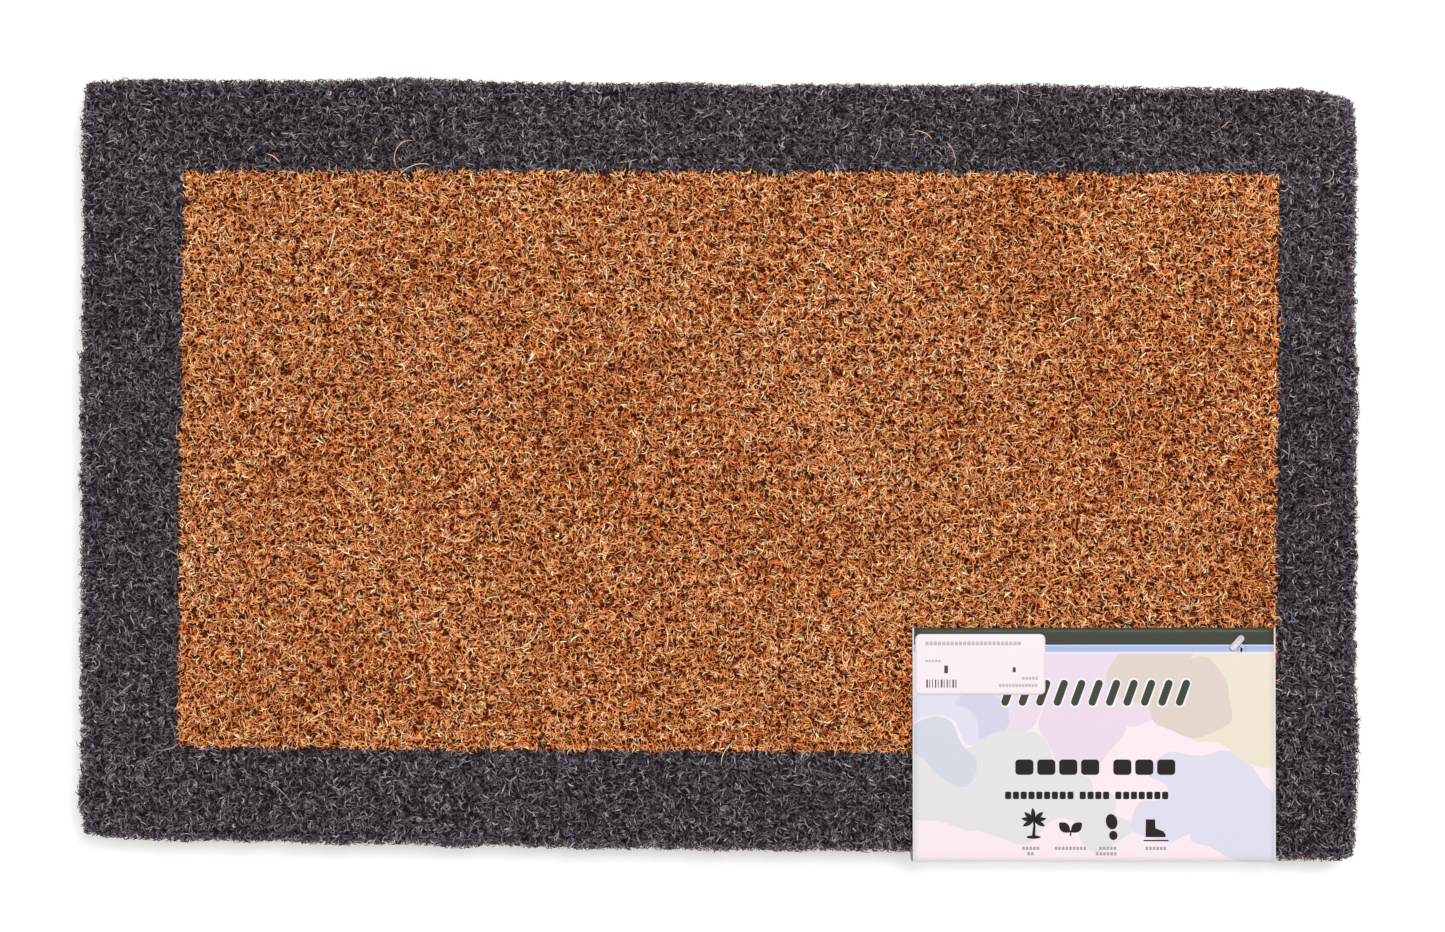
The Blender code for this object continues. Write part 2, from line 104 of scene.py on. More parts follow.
class Shader:
    """A material with its Principled node, and short calls to build the nodes that feed it."""

    def __init__(self, name, roughness, **sockets):
        self.material = bpy.data.materials.new(name)
        self.material.use_nodes = True
        self.nodes = self.material.node_tree.nodes
        self.links = self.material.node_tree.links
        self.main = self.nodes["Principled BSDF"]
        self.main.inputs["Roughness"].default_value = roughness
        for socket, value in sockets.items():
            self.main.inputs[socket.replace("_", " ")].default_value = value

    def feed(self, socket, value):
        if isinstance(value, bpy.types.NodeSocket):
            self.links.new(value, socket)
        else:
            socket.default_value = value

    def math(self, operation, *values):
        node = self.nodes.new("ShaderNodeMath")
        node.operation = operation
        for socket, value in zip(node.inputs, values):
            self.feed(socket, value)
        return node.outputs[0]

    def mix(self, share, first, second, kind="MIX"):
        node = self.nodes.new("ShaderNodeMix")
        node.data_type = "RGBA"
        node.blend_type = kind
        self.feed(node.inputs[0], share)
        self.feed(node.inputs[6], first)
        self.feed(node.inputs[7], second)
        return node.outputs[2]

    def ramp(self, value, stops):
        node = self.nodes.new("ShaderNodeValToRGB")
        elements = node.color_ramp.elements
        while len(elements) < len(stops):
            elements.new(0.5)
        for element, (place, color) in zip(elements, stops):
            element.position = place
            element.color = color
        self.feed(node.inputs[0], value)
        return node.outputs[0]

    def noise(self, scale, detail, vector, roughness=0.5):
        node = self.nodes.new("ShaderNodeTexNoise")
        node.inputs["Scale"].default_value = scale
        node.inputs["Detail"].default_value = detail
        node.inputs["Roughness"].default_value = roughness
        self.links.new(vector, node.inputs["Vector"])
        return node.outputs[0]

    def position(self):
        return self.nodes.new("ShaderNodeTexCoord").outputs["Object"]

    def map_place(self, name):
        """The place on one of the piece's maps."""
        node = self.nodes.new("ShaderNodeUVMap")
        node.uv_map = name
        return node.outputs[0]

    def split(self, vector):
        """The three coordinates of a vector."""
        node = self.nodes.new("ShaderNodeSeparateXYZ")
        self.links.new(vector, node.inputs[0])
        return node.outputs

    def bump(self, height, strength, distance):
        node = self.nodes.new("ShaderNodeBump")
        node.inputs["Strength"].default_value = strength
        node.inputs["Distance"].default_value = distance
        self.links.new(height, node.inputs["Height"])
        self.links.new(node.outputs[0], self.main.inputs["Normal"])

    def color(self, value):
        self.feed(self.main.inputs["Base Color"], value)
        return self.material

    def coated(self, value, grain, shade, gloss, relief):
        """A coated sheet or moulding: fine specks in its colour, an uneven gloss and a slight relief."""
        specks = self.noise(1 / grain, 3, self.position())
        patches = self.noise(1 / (25 * grain), 2, self.position())
        light, dark = ((level, level, level, 1) for level in (PAPER_WHITE, PAPER_WHITE * (1 - shade)))
        speckled = self.mix(1.0, value, self.ramp(specks, [(0.35, dark), (0.65, light)]), "MULTIPLY")
        least, most = ((level, level, level, 1) for level in gloss)
        self.feed(self.main.inputs["Roughness"], self.ramp(patches, [(0.3, least), (0.7, most)]))
        self.bump(self.math("ADD", specks, patches), 0.5, relief)
        return self.color(speckled)


# ---- Mesh helpers ----


def add_object(name, data):
    made = bpy.data.objects.new(name, data)
    bpy.context.scene.collection.objects.link(made)
    return made


def object_from_lists(name, points, faces, material, smooth=False):
    """An object from points and faces of any number of corners."""
    mesh = bpy.data.meshes.new(name)
    mesh.from_pydata(points, [], faces)
    mesh.materials.append(material)
    if smooth:
        mesh.shade_smooth()
    return add_object(name, mesh)


def object_from_arrays(name, points, quads, material, uv=None, smooth=True):
    """An object from numpy arrays: points (n, 3), quads (m, 4) and a map position per corner."""
    mesh = bpy.data.meshes.new(name)
    mesh.vertices.add(len(points))
    mesh.vertices.foreach_set("co", np.ascontiguousarray(points, np.float32).ravel())
    mesh.loops.add(quads.size)
    mesh.loops.foreach_set("vertex_index", np.ascontiguousarray(quads, np.int32).ravel())
    mesh.polygons.add(len(quads))
    mesh.polygons.foreach_set("loop_start", np.arange(0, quads.size, 4, dtype=np.int32))
    mesh.update(calc_edges=True)
    if uv is not None:
        layer = mesh.uv_layers.new(name=BAKE_MAP, do_init=False)
        layer.uv.foreach_set("vector", np.ascontiguousarray(uv, np.float32).ravel())
    mesh.materials.append(material)
    if smooth:
        mesh.shade_smooth()
    return add_object(name, mesh)


def finish_piece(made, slot, *nodes, body=MAT_BODY):
    """Tells the frame which body a piece rides on and hides the CAD nodes it stands for; the slot is not
    used.
    """
    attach(made, body)
    if nodes:
        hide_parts(*nodes)
    return made


def grid_quads(rows, columns, first=0):
    """Quads over a grid of points numbered row by row."""
    corner = first + np.arange(rows - 1)[:, None] * columns + np.arange(columns - 1)[None, :]
    return np.stack([corner, corner + 1, corner + columns + 1, corner + columns], -1).reshape(-1, 4)


def closed_sheet(upper, lower):
    """Points and quads of a closed piece between two grids of points (rows, columns, 3)."""
    rows, columns, _ = upper.shape
    points = np.concatenate([upper.reshape(-1, 3), lower.reshape(-1, 3)])
    count = rows * columns
    roof = grid_quads(rows, columns)
    floor = grid_quads(rows, columns, count)[:, ::-1]
    rim = np.concatenate(
        [
            np.arange(columns),
            np.arange(1, rows) * columns + columns - 1,
            (rows - 1) * columns + np.arange(columns - 2, -1, -1),
            np.arange(rows - 2, 0, -1) * columns,
        ]
    )
    after = np.roll(rim, -1)
    walls = np.stack([rim, rim + count, after + count, after], -1)
    return points, np.concatenate([roof, floor, walls])


def smooth_noise(x, y, size, seed):
    """Value noise from -1 to 1 over the plan, with features of the given size."""
    rng = np.random.default_rng(seed)
    table = rng.uniform(-1, 1, (64, 64))
    gx, gy = np.asarray(x) / size + 1000, np.asarray(y) / size + 1000
    ix, iy = np.floor(gx).astype(int), np.floor(gy).astype(int)
    fx, fy = gx - ix, gy - iy
    fx, fy = fx * fx * (3 - 2 * fx), fy * fy * (3 - 2 * fy)

    def corner(a, b):
        return table[(ix + a) % 64, (iy + b) % 64]

    near = corner(0, 0) * (1 - fx) + corner(1, 0) * fx
    far = corner(0, 1) * (1 - fx) + corner(1, 1) * fx
    return near * (1 - fy) + far * fy


# ---- The hand-made outline ----

ROW_COUNT = 60
ROW_PITCH = (GROUND_HIGH.y - GROUND_LOW.y) / ROW_COUNT
CHAIN_PITCH = 30 * MM
SHEAR = -0.0077
EDGE_REACH = 30 * MM


def edge_share(distance):
    """1 at an edge, falling smoothly to 0 inside it."""
    near = np.clip(1 - distance / EDGE_REACH, 0, 1)
    return near * near * (3 - 2 * near)


def settle(x, y):
    """Moves plan positions from an exact rectangle to the mat's uneven outline."""
    side = np.sign(x)
    end = np.sign(y)
    at_side = edge_share(HALF_LENGTH - np.abs(x))
    at_end = edge_share(HALF_WIDTH - np.abs(y))
    row_lumps = 0.9 * MM * (np.abs(np.sin(np.pi * y / ROW_PITCH + side)) - 0.6)
    side_wave = 1.3 * MM * smooth_noise(side * 3, y, 42 * MM, 11)
    side_wave = side_wave + 0.9 * MM * smooth_noise(side * 3, y, 12 * MM, 12)
    end_wave = 0.9 * MM * smooth_noise(x, end * 3, 26 * MM, 13)
    end_wave = end_wave + 0.8 * MM * smooth_noise(x, end * 3, 90 * MM, 14)
    end_lumps = 0.8 * MM * smooth_noise(x, end * 5, 9 * MM, 15)
    # The front edge runs out a little towards the right, and the back edge towards the left.
    slant = np.where(end < 0, 0.0080 * x - 0.4 * MM, -0.0035 * x + 0.5 * MM)
    corner_x = np.clip((np.abs(x) - HALF_LENGTH + 45 * MM) / (45 * MM), 0, 1)
    corner_y = np.clip((np.abs(y) - HALF_WIDTH + 30 * MM) / (30 * MM), 0, 1)
    droop = np.where((side > 0) & (end > 0), 5.5 * MM, 2.5 * MM) * corner_x**2 * corner_y
    moved_x = x + side * at_side * (row_lumps + side_wave) + SHEAR * y
    moved_y = y + end * at_end * (end_wave + end_lumps + slant) - end * droop
    moved_x = moved_x - side * 2.5 * MM * corner_x**2 * corner_y**2
    return moved_x, moved_y


def settled_points(x, y, z):
    """Points that have moved with the mat's uneven outline."""
    return np.stack([*settle(x, y), z], -1)


def in_field(x, y):
    """How far inside the undyed centre a plan position lies, in metres; negative outside."""
    inside = np.full(np.shape(x), 1.0)
    for a, b in zip(FIELD, FIELD[1:] + FIELD[:1]):
        along = (b - a) / np.linalg.norm(b - a)
        inside = np.minimum(inside, along[0] * (y - a[1]) - along[1] * (x - a[0]))
    return inside


# ---- Coir colours ----

DYE_DEPTH = 8 * MM

# Screen colours of undyed coir from its darkest fibres to its palest.
COIR_TONES = [
    (0.00, linear((138, 50, 15))),
    (0.15, linear((212, 110, 52))),
    (0.42, linear((255, 160, 92))),
    (0.70, linear((255, 194, 132))),
    (0.92, linear((255, 220, 166))),
    (1.00, linear((255, 240, 198))),
]
DYED_TONES = [
    (0.00, linear((28, 22, 26))),
    (0.30, linear((72, 62, 72))),
    (0.65, linear((109, 99, 110))),
    (0.93, linear((150, 141, 150))),
    (1.00, linear((190, 182, 184))),
]


# Painted shade: how much of its colour a fibre shows at each height up the pile, darkest deep down where
# the gaps lie in shadow and full colour at the tips.
NATURAL_PAINTED_SHADE = [
    (0.00, (0.05, 0.006, 0.001, 1)),
    (0.38, (0.20, 0.052, 0.02, 1)),
    (0.64, (0.70, 0.50, 0.37, 1)),
    (0.82, (1.0, 1.0, 1.0, 1)),
]
# Painted shade for dyed fibres by height: the undyed feet a little dimmer, the dyed part darkest at the dye
# line deep in the pile and full colour at the tips.
DYED_PAINTED_SHADE = [
    (0.00, (0.8, 0.8, 0.8, 1)),
    (0.50, (0.7, 0.7, 0.7, 1)),
    (0.53, (0.05, 0.05, 0.05, 1)),
    (0.80, (0.18, 0.165, 0.17, 1)),
    (0.89, (0.62, 0.60, 0.61, 1)),
    (0.96, (1.0, 1.0, 1.0, 1)),
]


def natural_pile_material():
    """Undyed fibres: the map's first coordinate is a fibre's tone, its second the height up the pile, which
    sets a painted shade that darkens fibres deeper in the pile.
    """
    shader = Shader("coir_fibre_natural", 0.7, Specular_IOR_Level=0.06)
    tone, height, _ = shader.split(shader.map_place(BAKE_MAP))
    color = shader.ramp(tone, COIR_TONES)
    # Painted shade by height up the pile, multiplied into the fibre's tone.
    depth = shader.ramp(height, NATURAL_PAINTED_SHADE)
    return shader.color(shader.mix(1.0, color, depth, "MULTIPLY"))


def dyed_pile_material():
    """Dyed fibres: undyed below the middle of the map's second coordinate, and black above it; the same
    coordinate sets a painted shade, darkest at the dye line and full colour at the tips.
    """
    shader = Shader("coir_fibre_black", 0.6, Specular_IOR_Level=0.14)
    tone, height, _ = shader.split(shader.map_place(BAKE_MAP))
    straw = shader.mix(1.0, shader.ramp(tone, COIR_TONES), linear((232, 230, 222)), "MULTIPLY")
    black = shader.ramp(tone, DYED_TONES)
    # Painted shade by height up the pile.
    shade = shader.ramp(height, DYED_PAINTED_SHADE)
    dyed = shader.ramp(height, [(0.46, (0, 0, 0, 1)), (0.52, (1, 1, 1, 1))])
    color = shader.mix(dyed, straw, black)
    return shader.color(shader.mix(1.0, color, shade, "MULTIPLY"))


def pile_base_material(name, light, dark):
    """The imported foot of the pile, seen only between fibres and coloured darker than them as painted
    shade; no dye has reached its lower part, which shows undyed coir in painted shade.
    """
    shader = Shader(name, 0.95)
    place = shader.position()
    clumps = shader.noise(700, 4, place)
    shader.bump(clumps, 0.8, 1.5 * MM)
    # These colours are darker than the fibres: painted shade of the deep pile, over uneven clumps.
    upper = shader.ramp(clumps, [(0.35, linear(dark)), (0.65, linear(light))])
    lower = shader.ramp(clumps, [(0.35, linear((84, 48, 24))), (0.65, linear((150, 102, 58)))])
    is_upper = shader.math("GREATER_THAN", shader.split(place)[2], PILE_TOP - DYE_DEPTH)
    return shader.color(shader.mix(is_upper, lower, upper))


def yarn_material(name, pale, deep):
    """Spun coir: fine fibre grain over broader blotches."""
    shader = Shader(name, 0.85)
    place = shader.position()
    grain = shader.noise(900, 5, place, 0.7)
    blotches = shader.noise(60, 2, place)
    weighted = (shader.math("MULTIPLY", grain, 0.7), shader.math("MULTIPLY", blotches, 0.3))
    both = shader.math("ADD", *weighted)
    shader.bump(grain, 0.7, 0.6 * MM)
    return shader.color(shader.ramp(both, [(0.32, linear(deep)), (0.66, linear(pale))]))


# ---- The cut pile ----

FIBRE_RINGS = 5
# The ring that tells where a fibre of the mat's top belongs, one before its tip.
PLACE_RING = 3
FIBRE_WIDTH = 0.53 * MM
TUFT_PITCH = 4.0 * MM
TUFT_STRAY = 0.18 * TUFT_PITCH
TUFT_REACH = 0.62 * TUFT_PITCH
FIBRES_PER_TUFT = 16
# How far a fibre's two edges differ in tone, and how far its shade may move it down the map.
TONE_REACH = 0.012
SHADE_SPREAD = 0.05
EDGE_FUZZ = 0.9 * MM
EDGE_MARGIN = 0.7 * MM
EDGE_RADIUS = 7 * MM
PIN_PIT = 2.2 * MM
ROW_RISE = 0.2 * MM
TILE_COLUMNS = 8
TILE_ROWS = 4


def fibre_spines(roots, heading, lift, droop, curl, length, rings=FIBRE_RINGS):
    """Curved fibres: each rises from its root at its lift angle, bends towards droop and turns by curl."""
    steps = rings - 1
    share = (np.arange(steps) + 0.5) / steps
    rise = lift[:, None] + (droop - lift)[:, None] * share[None, :] ** 0.8
    turn = heading[:, None] + curl[:, None] * (share[None, :] - 0.3)
    step = (length / steps)[:, None]
    moves = np.stack(
        [step * np.cos(rise) * np.cos(turn), step * np.cos(rise) * np.sin(turn), step * np.sin(rise)],
        -1,
    )
    spines = np.concatenate([np.zeros((len(roots), 1, 3)), np.cumsum(moves, 1)], 1)
    return spines + roots[:, None, :]


def fibre_mesh(name, spines, width, roll, tone, height, material):
    """Ribbons along the spines (n, rings, 3); height (n, rings) and tone (n) set their place in the map."""
    count, rings, _ = spines.shape
    ahead = np.gradient(spines, axis=1)
    ahead /= np.linalg.norm(ahead, axis=2, keepdims=True) + 1e-12
    across = np.stack([-ahead[..., 1], ahead[..., 0], np.zeros((count, rings))], -1)
    across /= np.linalg.norm(across, axis=2, keepdims=True) + 1e-12
    over = np.cross(ahead, across)
    tilt = roll[:, None, None]
    flat = across * np.cos(tilt) + over * np.sin(tilt)
    taper = np.interp(np.arange(rings) / (rings - 1), [0, 0.25, 0.75, 1], [0.75, 1, 0.9, 0.35])
    half = 0.5 * width[:, None, None] * taper[None, :, None] * flat
    points = np.stack([spines - half, spines + half], 2).reshape(-1, 3)
    first = (np.arange(count) * rings * 2)[:, None] + (np.arange(rings - 1) * 2)[None, :]
    quads = np.stack([first, first + 1, first + 3, first + 2], -1).reshape(-1, 4)
    left = np.clip(tone - TONE_REACH, 0.002, 0.998)[:, None] + np.zeros((1, rings - 1))
    right = np.clip(tone + TONE_REACH, 0.002, 0.998)[:, None] + np.zeros((1, rings - 1))
    low, high = height[:, :-1], height[:, 1:]
    corners = [(left, low), (right, low), (right, high), (left, high)]
    uv = np.stack([np.stack(corner, -1) for corner in corners], 2).reshape(-1, 2)
    return object_from_arrays(name, points, quads, material, uv)


def fibre_piece(name, fibres, chosen, material, slot):
    """One piece of the chosen fibres, given as their spines, widths, rolls, tones and heights."""
    return finish_piece(fibre_mesh(name, *(values[chosen] for values in fibres), material), slot)


def tuft_plan(rng):
    """Tuft places in uneven rows over the mat's plan."""
    columns = int(2 * HALF_LENGTH / TUFT_PITCH)
    rows = int(2 * HALF_WIDTH / TUFT_PITCH)
    x = (np.arange(columns) + 0.5) / columns * 2 * HALF_LENGTH - HALF_LENGTH
    y = (np.arange(rows) + 0.5) / rows * 2 * HALF_WIDTH - HALF_WIDTH
    x, y = (a.ravel() for a in np.meshgrid(x, y))
    return x + rng.normal(0, TUFT_STRAY, x.size), y + rng.normal(0, TUFT_STRAY, y.size)


def card_cover(x, y):
    """1 where the card lies on the pile, 0 away from it."""
    reach = 1.5 * MM
    over_x = np.clip((x - CARD_LOW.x) / reach, 0, 1) * np.clip((CARD_HIGH.x - x) / reach, 0, 1)
    return over_x * np.clip((CARD_HIGH.y - y) / reach, 0, 1)


def surface_fibres():
    """All the fibres of the mat's top: their spines, widths, rolls and tones, and the generator."""
    rng = np.random.default_rng(3)
    tuft_x, tuft_y = tuft_plan(rng)
    tufts = tuft_x.size
    tuft_tone = rng.normal(0, 0.03, tufts) + 0.05 * smooth_noise(tuft_x, tuft_y, 60 * MM, 21)
    tuft_top = rng.normal(0, 0.08 * MM, tufts) + 0.2 * MM * smooth_noise(tuft_x, tuft_y, 35 * MM, 22)
    tuft_lean = rng.uniform(-np.pi, np.pi, tufts)

    owner = np.repeat(np.arange(tufts), FIBRES_PER_TUFT)
    count = owner.size
    spread = rng.uniform(-TUFT_REACH, TUFT_REACH, (count, 2))
    away = np.arctan2(spread[:, 1], spread[:, 0])
    heading = np.where(rng.random(count) < 0.35, tuft_lean[owner], away) + rng.normal(0, 0.9, count)
    length = rng.gamma(9, 0.56 * MM, count)
    lift = np.radians(rng.uniform(50, 88, count))
    droop = np.radians(rng.normal(8, 26, count))
    curl = rng.normal(0, 2.0, count)
    roots = np.stack([tuft_x[owner] + spread[:, 0], tuft_y[owner] + spread[:, 1], np.zeros(count)], -1)
    spines = fibre_spines(roots, heading, lift, droop, curl, length)
    # Each fibre is lifted so that its highest point reaches its own place near the pile's top.
    row_sway = 0.15 * smooth_noise(roots[:, 0], 0, 30 * MM, 23)
    in_row = ROW_RISE * np.cos(2 * np.pi * (roots[:, 1] / ROW_PITCH + row_sway))
    top = PILE_TOP - ROW_RISE - rng.gamma(1.6, 0.8 * MM, count) + tuft_top[owner] + in_row
    spines[..., 2] += (top - spines[..., 2].max(1))[:, None]
    middle = spines[:, FIBRE_RINGS // 2 : -1].mean(1)
    # The curl moves a fibre off its root, so it is put back over it.
    shift = roots[:, :2] - middle[:, :2]
    spines[..., :2] += 0.7 * shift[:, None, :]
    width = FIBRE_WIDTH * rng.lognormal(0, 0.25, count)
    roll = rng.normal(0, 0.4, count)
    tone = np.clip(0.56 + tuft_tone[owner] + rng.normal(0, 0.29, count), 0.01, 0.99)
    return spines, width, roll, tone, rng


def pile_height(z, shade):
    """The map height of an undyed fibre, which sets its painted shade; its own shade moves it down the map
    towards the darker colours.
    """
    return np.clip((z - (PILE_TOP - 5 * MM)) / (5 * MM) - shade, 0.01, 0.99)


def dyed_height(z, soak):
    """The map height of a dyed fibre, which also sets its painted shade: under a half where the dye hasn't
    reached.
    """
    dye_line = PILE_TOP - DYE_DEPTH + soak
    wet = 0.52 + 0.46 * np.clip((z - dye_line) / (PILE_TOP - dye_line), 0, 1)
    dry = 0.46 * np.clip((z - 4 * MM) / (dye_line - 4 * MM), 0, 1)
    return np.where(z > dye_line, wet, dry)


def keep_on_mat(spines):
    """Fibres that lie past the pile's edge are moved as far inside it."""
    for axis, half in enumerate((HALF_LENGTH, HALF_WIDTH)):
        place = spines[:, PLACE_RING, axis]
        over = np.clip(np.abs(place) - (half - EDGE_MARGIN), 0, None)
        spines[..., axis] -= (2 * np.sign(place) * over)[:, None]


def past_outline(x, y):
    """How far a plan position lies outside the pile's rounded outline, and the outward direction there."""
    off_x = np.abs(x) - (HALF_LENGTH - EDGE_RADIUS)
    off_y = np.abs(y) - (HALF_WIDTH - EDGE_RADIUS)
    out_x, out_y = np.clip(off_x, 0, None), np.clip(off_y, 0, None)
    reach = np.hypot(out_x, out_y)
    inside = reach < 1e-9
    distance = np.where(inside, np.maximum(off_x, off_y), reach) - EDGE_RADIUS
    reach = np.where(inside, 1, reach)
    return distance, np.sign(x) * out_x / reach, np.sign(y) * out_y / reach


def trim_to_outline(spines):
    """Presses what stands out of the outline back towards it, as the mat's edge is sheared."""
    distance, way_x, way_y = past_outline(spines[..., 0], spines[..., 1])
    over = np.clip(distance, 0, None)
    back = over - EDGE_FUZZ * np.tanh(over / EDGE_FUZZ)
    spines[..., 0] -= way_x * back
    spines[..., 1] -= way_y * back


def settle_spines(spines):
    """Moves fibres with the mat's uneven outline and presses them down under the card.

    It tells which fibres are kept, because the needle has left a small pit in the pile at the pin.
    """
    middle = spines[:, spines.shape[1] // 2, :2]
    x, y = settle(middle[:, 0], middle[:, 1])
    spines[..., 0] += (x - middle[:, 0])[:, None]
    spines[..., 1] += (y - middle[:, 1])[:, None]
    under = card_cover(spines[..., 0], spines[..., 1])
    ceiling = PILE_TOP + 1.5 * MM - 1.6 * MM * under
    spines[..., 2] = np.minimum(spines[..., 2], ceiling)
    at_pin = np.hypot(spines[..., 0] - PIN_X, spines[..., 1] - PIN_Y + 1 * MM).min(1) < PIN_PIT
    return ~at_pin


LINT_SPOTS = 46


def add_lint(x, y, tone):
    """Small paler patches of loose fibre on the dyed border."""
    rng = np.random.default_rng(19)
    for _ in range(LINT_SPOTS):
        spot_x, spot_y = rng.uniform(-HALF_LENGTH, HALF_LENGTH), rng.uniform(-HALF_WIDTH, HALF_WIDTH)
        size, gain = rng.uniform(2.5, 6.5) * MM, rng.uniform(0.12, 0.34)
        if in_field(spot_x, spot_y) < 0:
            tone += gain * np.exp(-((x - spot_x) ** 2 + (y - spot_y) ** 2) / size**2)
    return np.clip(tone, 0.01, 0.99)


def make_surface(natural, dyed):
    """The mat's top, in tiles of undyed and of dyed fibres."""
    spines, width, roll, tone, rng = surface_fibres()
    keep_on_mat(spines)
    trim_to_outline(spines)
    place_x, place_y = spines[:, PLACE_RING, 0].copy(), spines[:, PLACE_RING, 1].copy()
    wobble = 0.9 * MM * smooth_noise(place_x, place_y, 9 * MM, 31)
    wobble = wobble + rng.normal(0, 0.35 * MM, len(wobble))
    undyed = in_field(place_x, place_y) + wobble > 0
    tone = np.where(undyed, tone, add_lint(place_x, place_y, tone.copy()))
    soak = rng.normal(0, 1.2 * MM, len(tone))
    shade = np.abs(rng.normal(0, SHADE_SPREAD, len(tone)))
    natural_height = pile_height(spines[..., 2], shade[:, None])
    height = np.where(undyed[:, None], natural_height, dyed_height(spines[..., 2], soak[:, None]))
    kept = settle_spines(spines)
    column = np.clip(((place_x / HALF_LENGTH + 1) / 2 * TILE_COLUMNS).astype(int), 0, TILE_COLUMNS - 1)
    row = np.clip(((place_y / HALF_WIDTH + 1) / 2 * TILE_ROWS).astype(int), 0, TILE_ROWS - 1)
    tile = column + row * TILE_COLUMNS
    fibres = (spines, width, roll, tone, height)
    for is_undyed, label, material in ((True, "centre", natural), (False, "border", dyed)):
        slot = "coir_pile_natural" if is_undyed else "coir_pile_black"
        for number in range(TILE_COLUMNS * TILE_ROWS):
            chosen = kept & (undyed == is_undyed) & (tile == number)
            if chosen.any():
                fibre_piece(f"pile_{label}_tufts_{number + 1:02d}", fibres, chosen, material, slot)


STRAY_HAIRS = 300
HAIR_WIDTH = 0.34 * MM
HAIR_RISE = 1.6 * MM


def make_stray_hairs(natural, dyed):
    """Longer loose fibres that lie on top of the pile."""
    rng = np.random.default_rng(7)
    x = rng.uniform(-HALF_LENGTH + 12 * MM, HALF_LENGTH - 12 * MM, STRAY_HAIRS)
    y = rng.uniform(-HALF_WIDTH + 12 * MM, HALF_WIDTH - 12 * MM, STRAY_HAIRS)
    roots = np.stack([x, y, np.full(STRAY_HAIRS, PILE_TOP - 2.5 * MM)], -1)
    heading = rng.uniform(-np.pi, np.pi, STRAY_HAIRS)
    length = rng.gamma(5, 2.3 * MM, STRAY_HAIRS)
    lift = np.radians(rng.uniform(15, 55, STRAY_HAIRS))
    droop = np.radians(rng.uniform(-30, 0, STRAY_HAIRS))
    spines = fibre_spines(roots, heading, lift, droop, rng.normal(0, 1.1, STRAY_HAIRS), length, 9)
    above = spines[..., 2] - PILE_TOP + 1.2 * MM
    spines[..., 2] = PILE_TOP - 1.2 * MM + HAIR_RISE * np.tanh(above / HAIR_RISE)
    middle = spines[:, 4, :2]
    undyed = in_field(middle[:, 0], middle[:, 1]) > 0
    far = card_cover(spines[..., 0], spines[..., 1]).max(1) < 0.01
    kept = settle_spines(spines) & far
    width = HAIR_WIDTH * rng.lognormal(0, 0.2, STRAY_HAIRS)
    tone = np.clip(rng.normal(0.93, 0.1, STRAY_HAIRS), 0.4, 0.99)
    # On the border most are pale wisps, and the rest have taken the dye.
    pale = undyed | (rng.random(STRAY_HAIRS) < 0.3)
    roll = rng.normal(0, 0.5, STRAY_HAIRS)
    fibres = (spines, width, roll, tone, np.full(spines.shape[:2], 0.97))
    fibre_piece("stray_hairs_pale", fibres, pale & kept, natural, "coir_pile_natural")
    fibre_piece("stray_hairs_dyed", fibres, ~pale & kept, dyed, "coir_pile_black")


EDGE_FIBRES = 34000


def edge_places(rng, count):
    """Places round the pile's rounded outline, with the outward direction at each."""
    radius = EDGE_RADIUS
    reach = (HALF_LENGTH - radius, HALF_WIDTH - radius)
    corners = [np.array(signs) * reach for signs in ((-1, -1), (1, -1), (1, 1), (-1, 1))]
    straight_x, straight_y = 2 * reach[0], 2 * reach[1]
    quarter = math.pi / 2 * radius
    lap = 2 * (straight_x + straight_y) + 4 * quarter
    along = np.sort(rng.uniform(0, lap, count))
    x, y, outward = np.empty(count), np.empty(count), np.empty(count)
    start = 0.0
    # Front, right, back and left sides, each followed by the corner that it runs into.
    for number in range(4):
        length = straight_x if number % 2 == 0 else straight_y
        facing = -math.pi / 2 + number * math.pi / 2
        run = facing + math.pi / 2
        centre, corner = corners[number], corners[(number + 1) % 4]
        on_side = (along >= start) & (along < start + length)
        gone = along[on_side] - start
        x[on_side] = centre[0] + gone * math.cos(run) + radius * math.cos(facing)
        y[on_side] = centre[1] + gone * math.sin(run) + radius * math.sin(facing)
        outward[on_side] = facing
        start += length
        on_corner = (along >= start) & (along < start + quarter)
        angle = facing + (along[on_corner] - start) / radius
        x[on_corner] = corner[0] + radius * np.cos(angle)
        y[on_corner] = corner[1] + radius * np.sin(angle)
        outward[on_corner] = angle
        start += quarter
    return x, y, outward


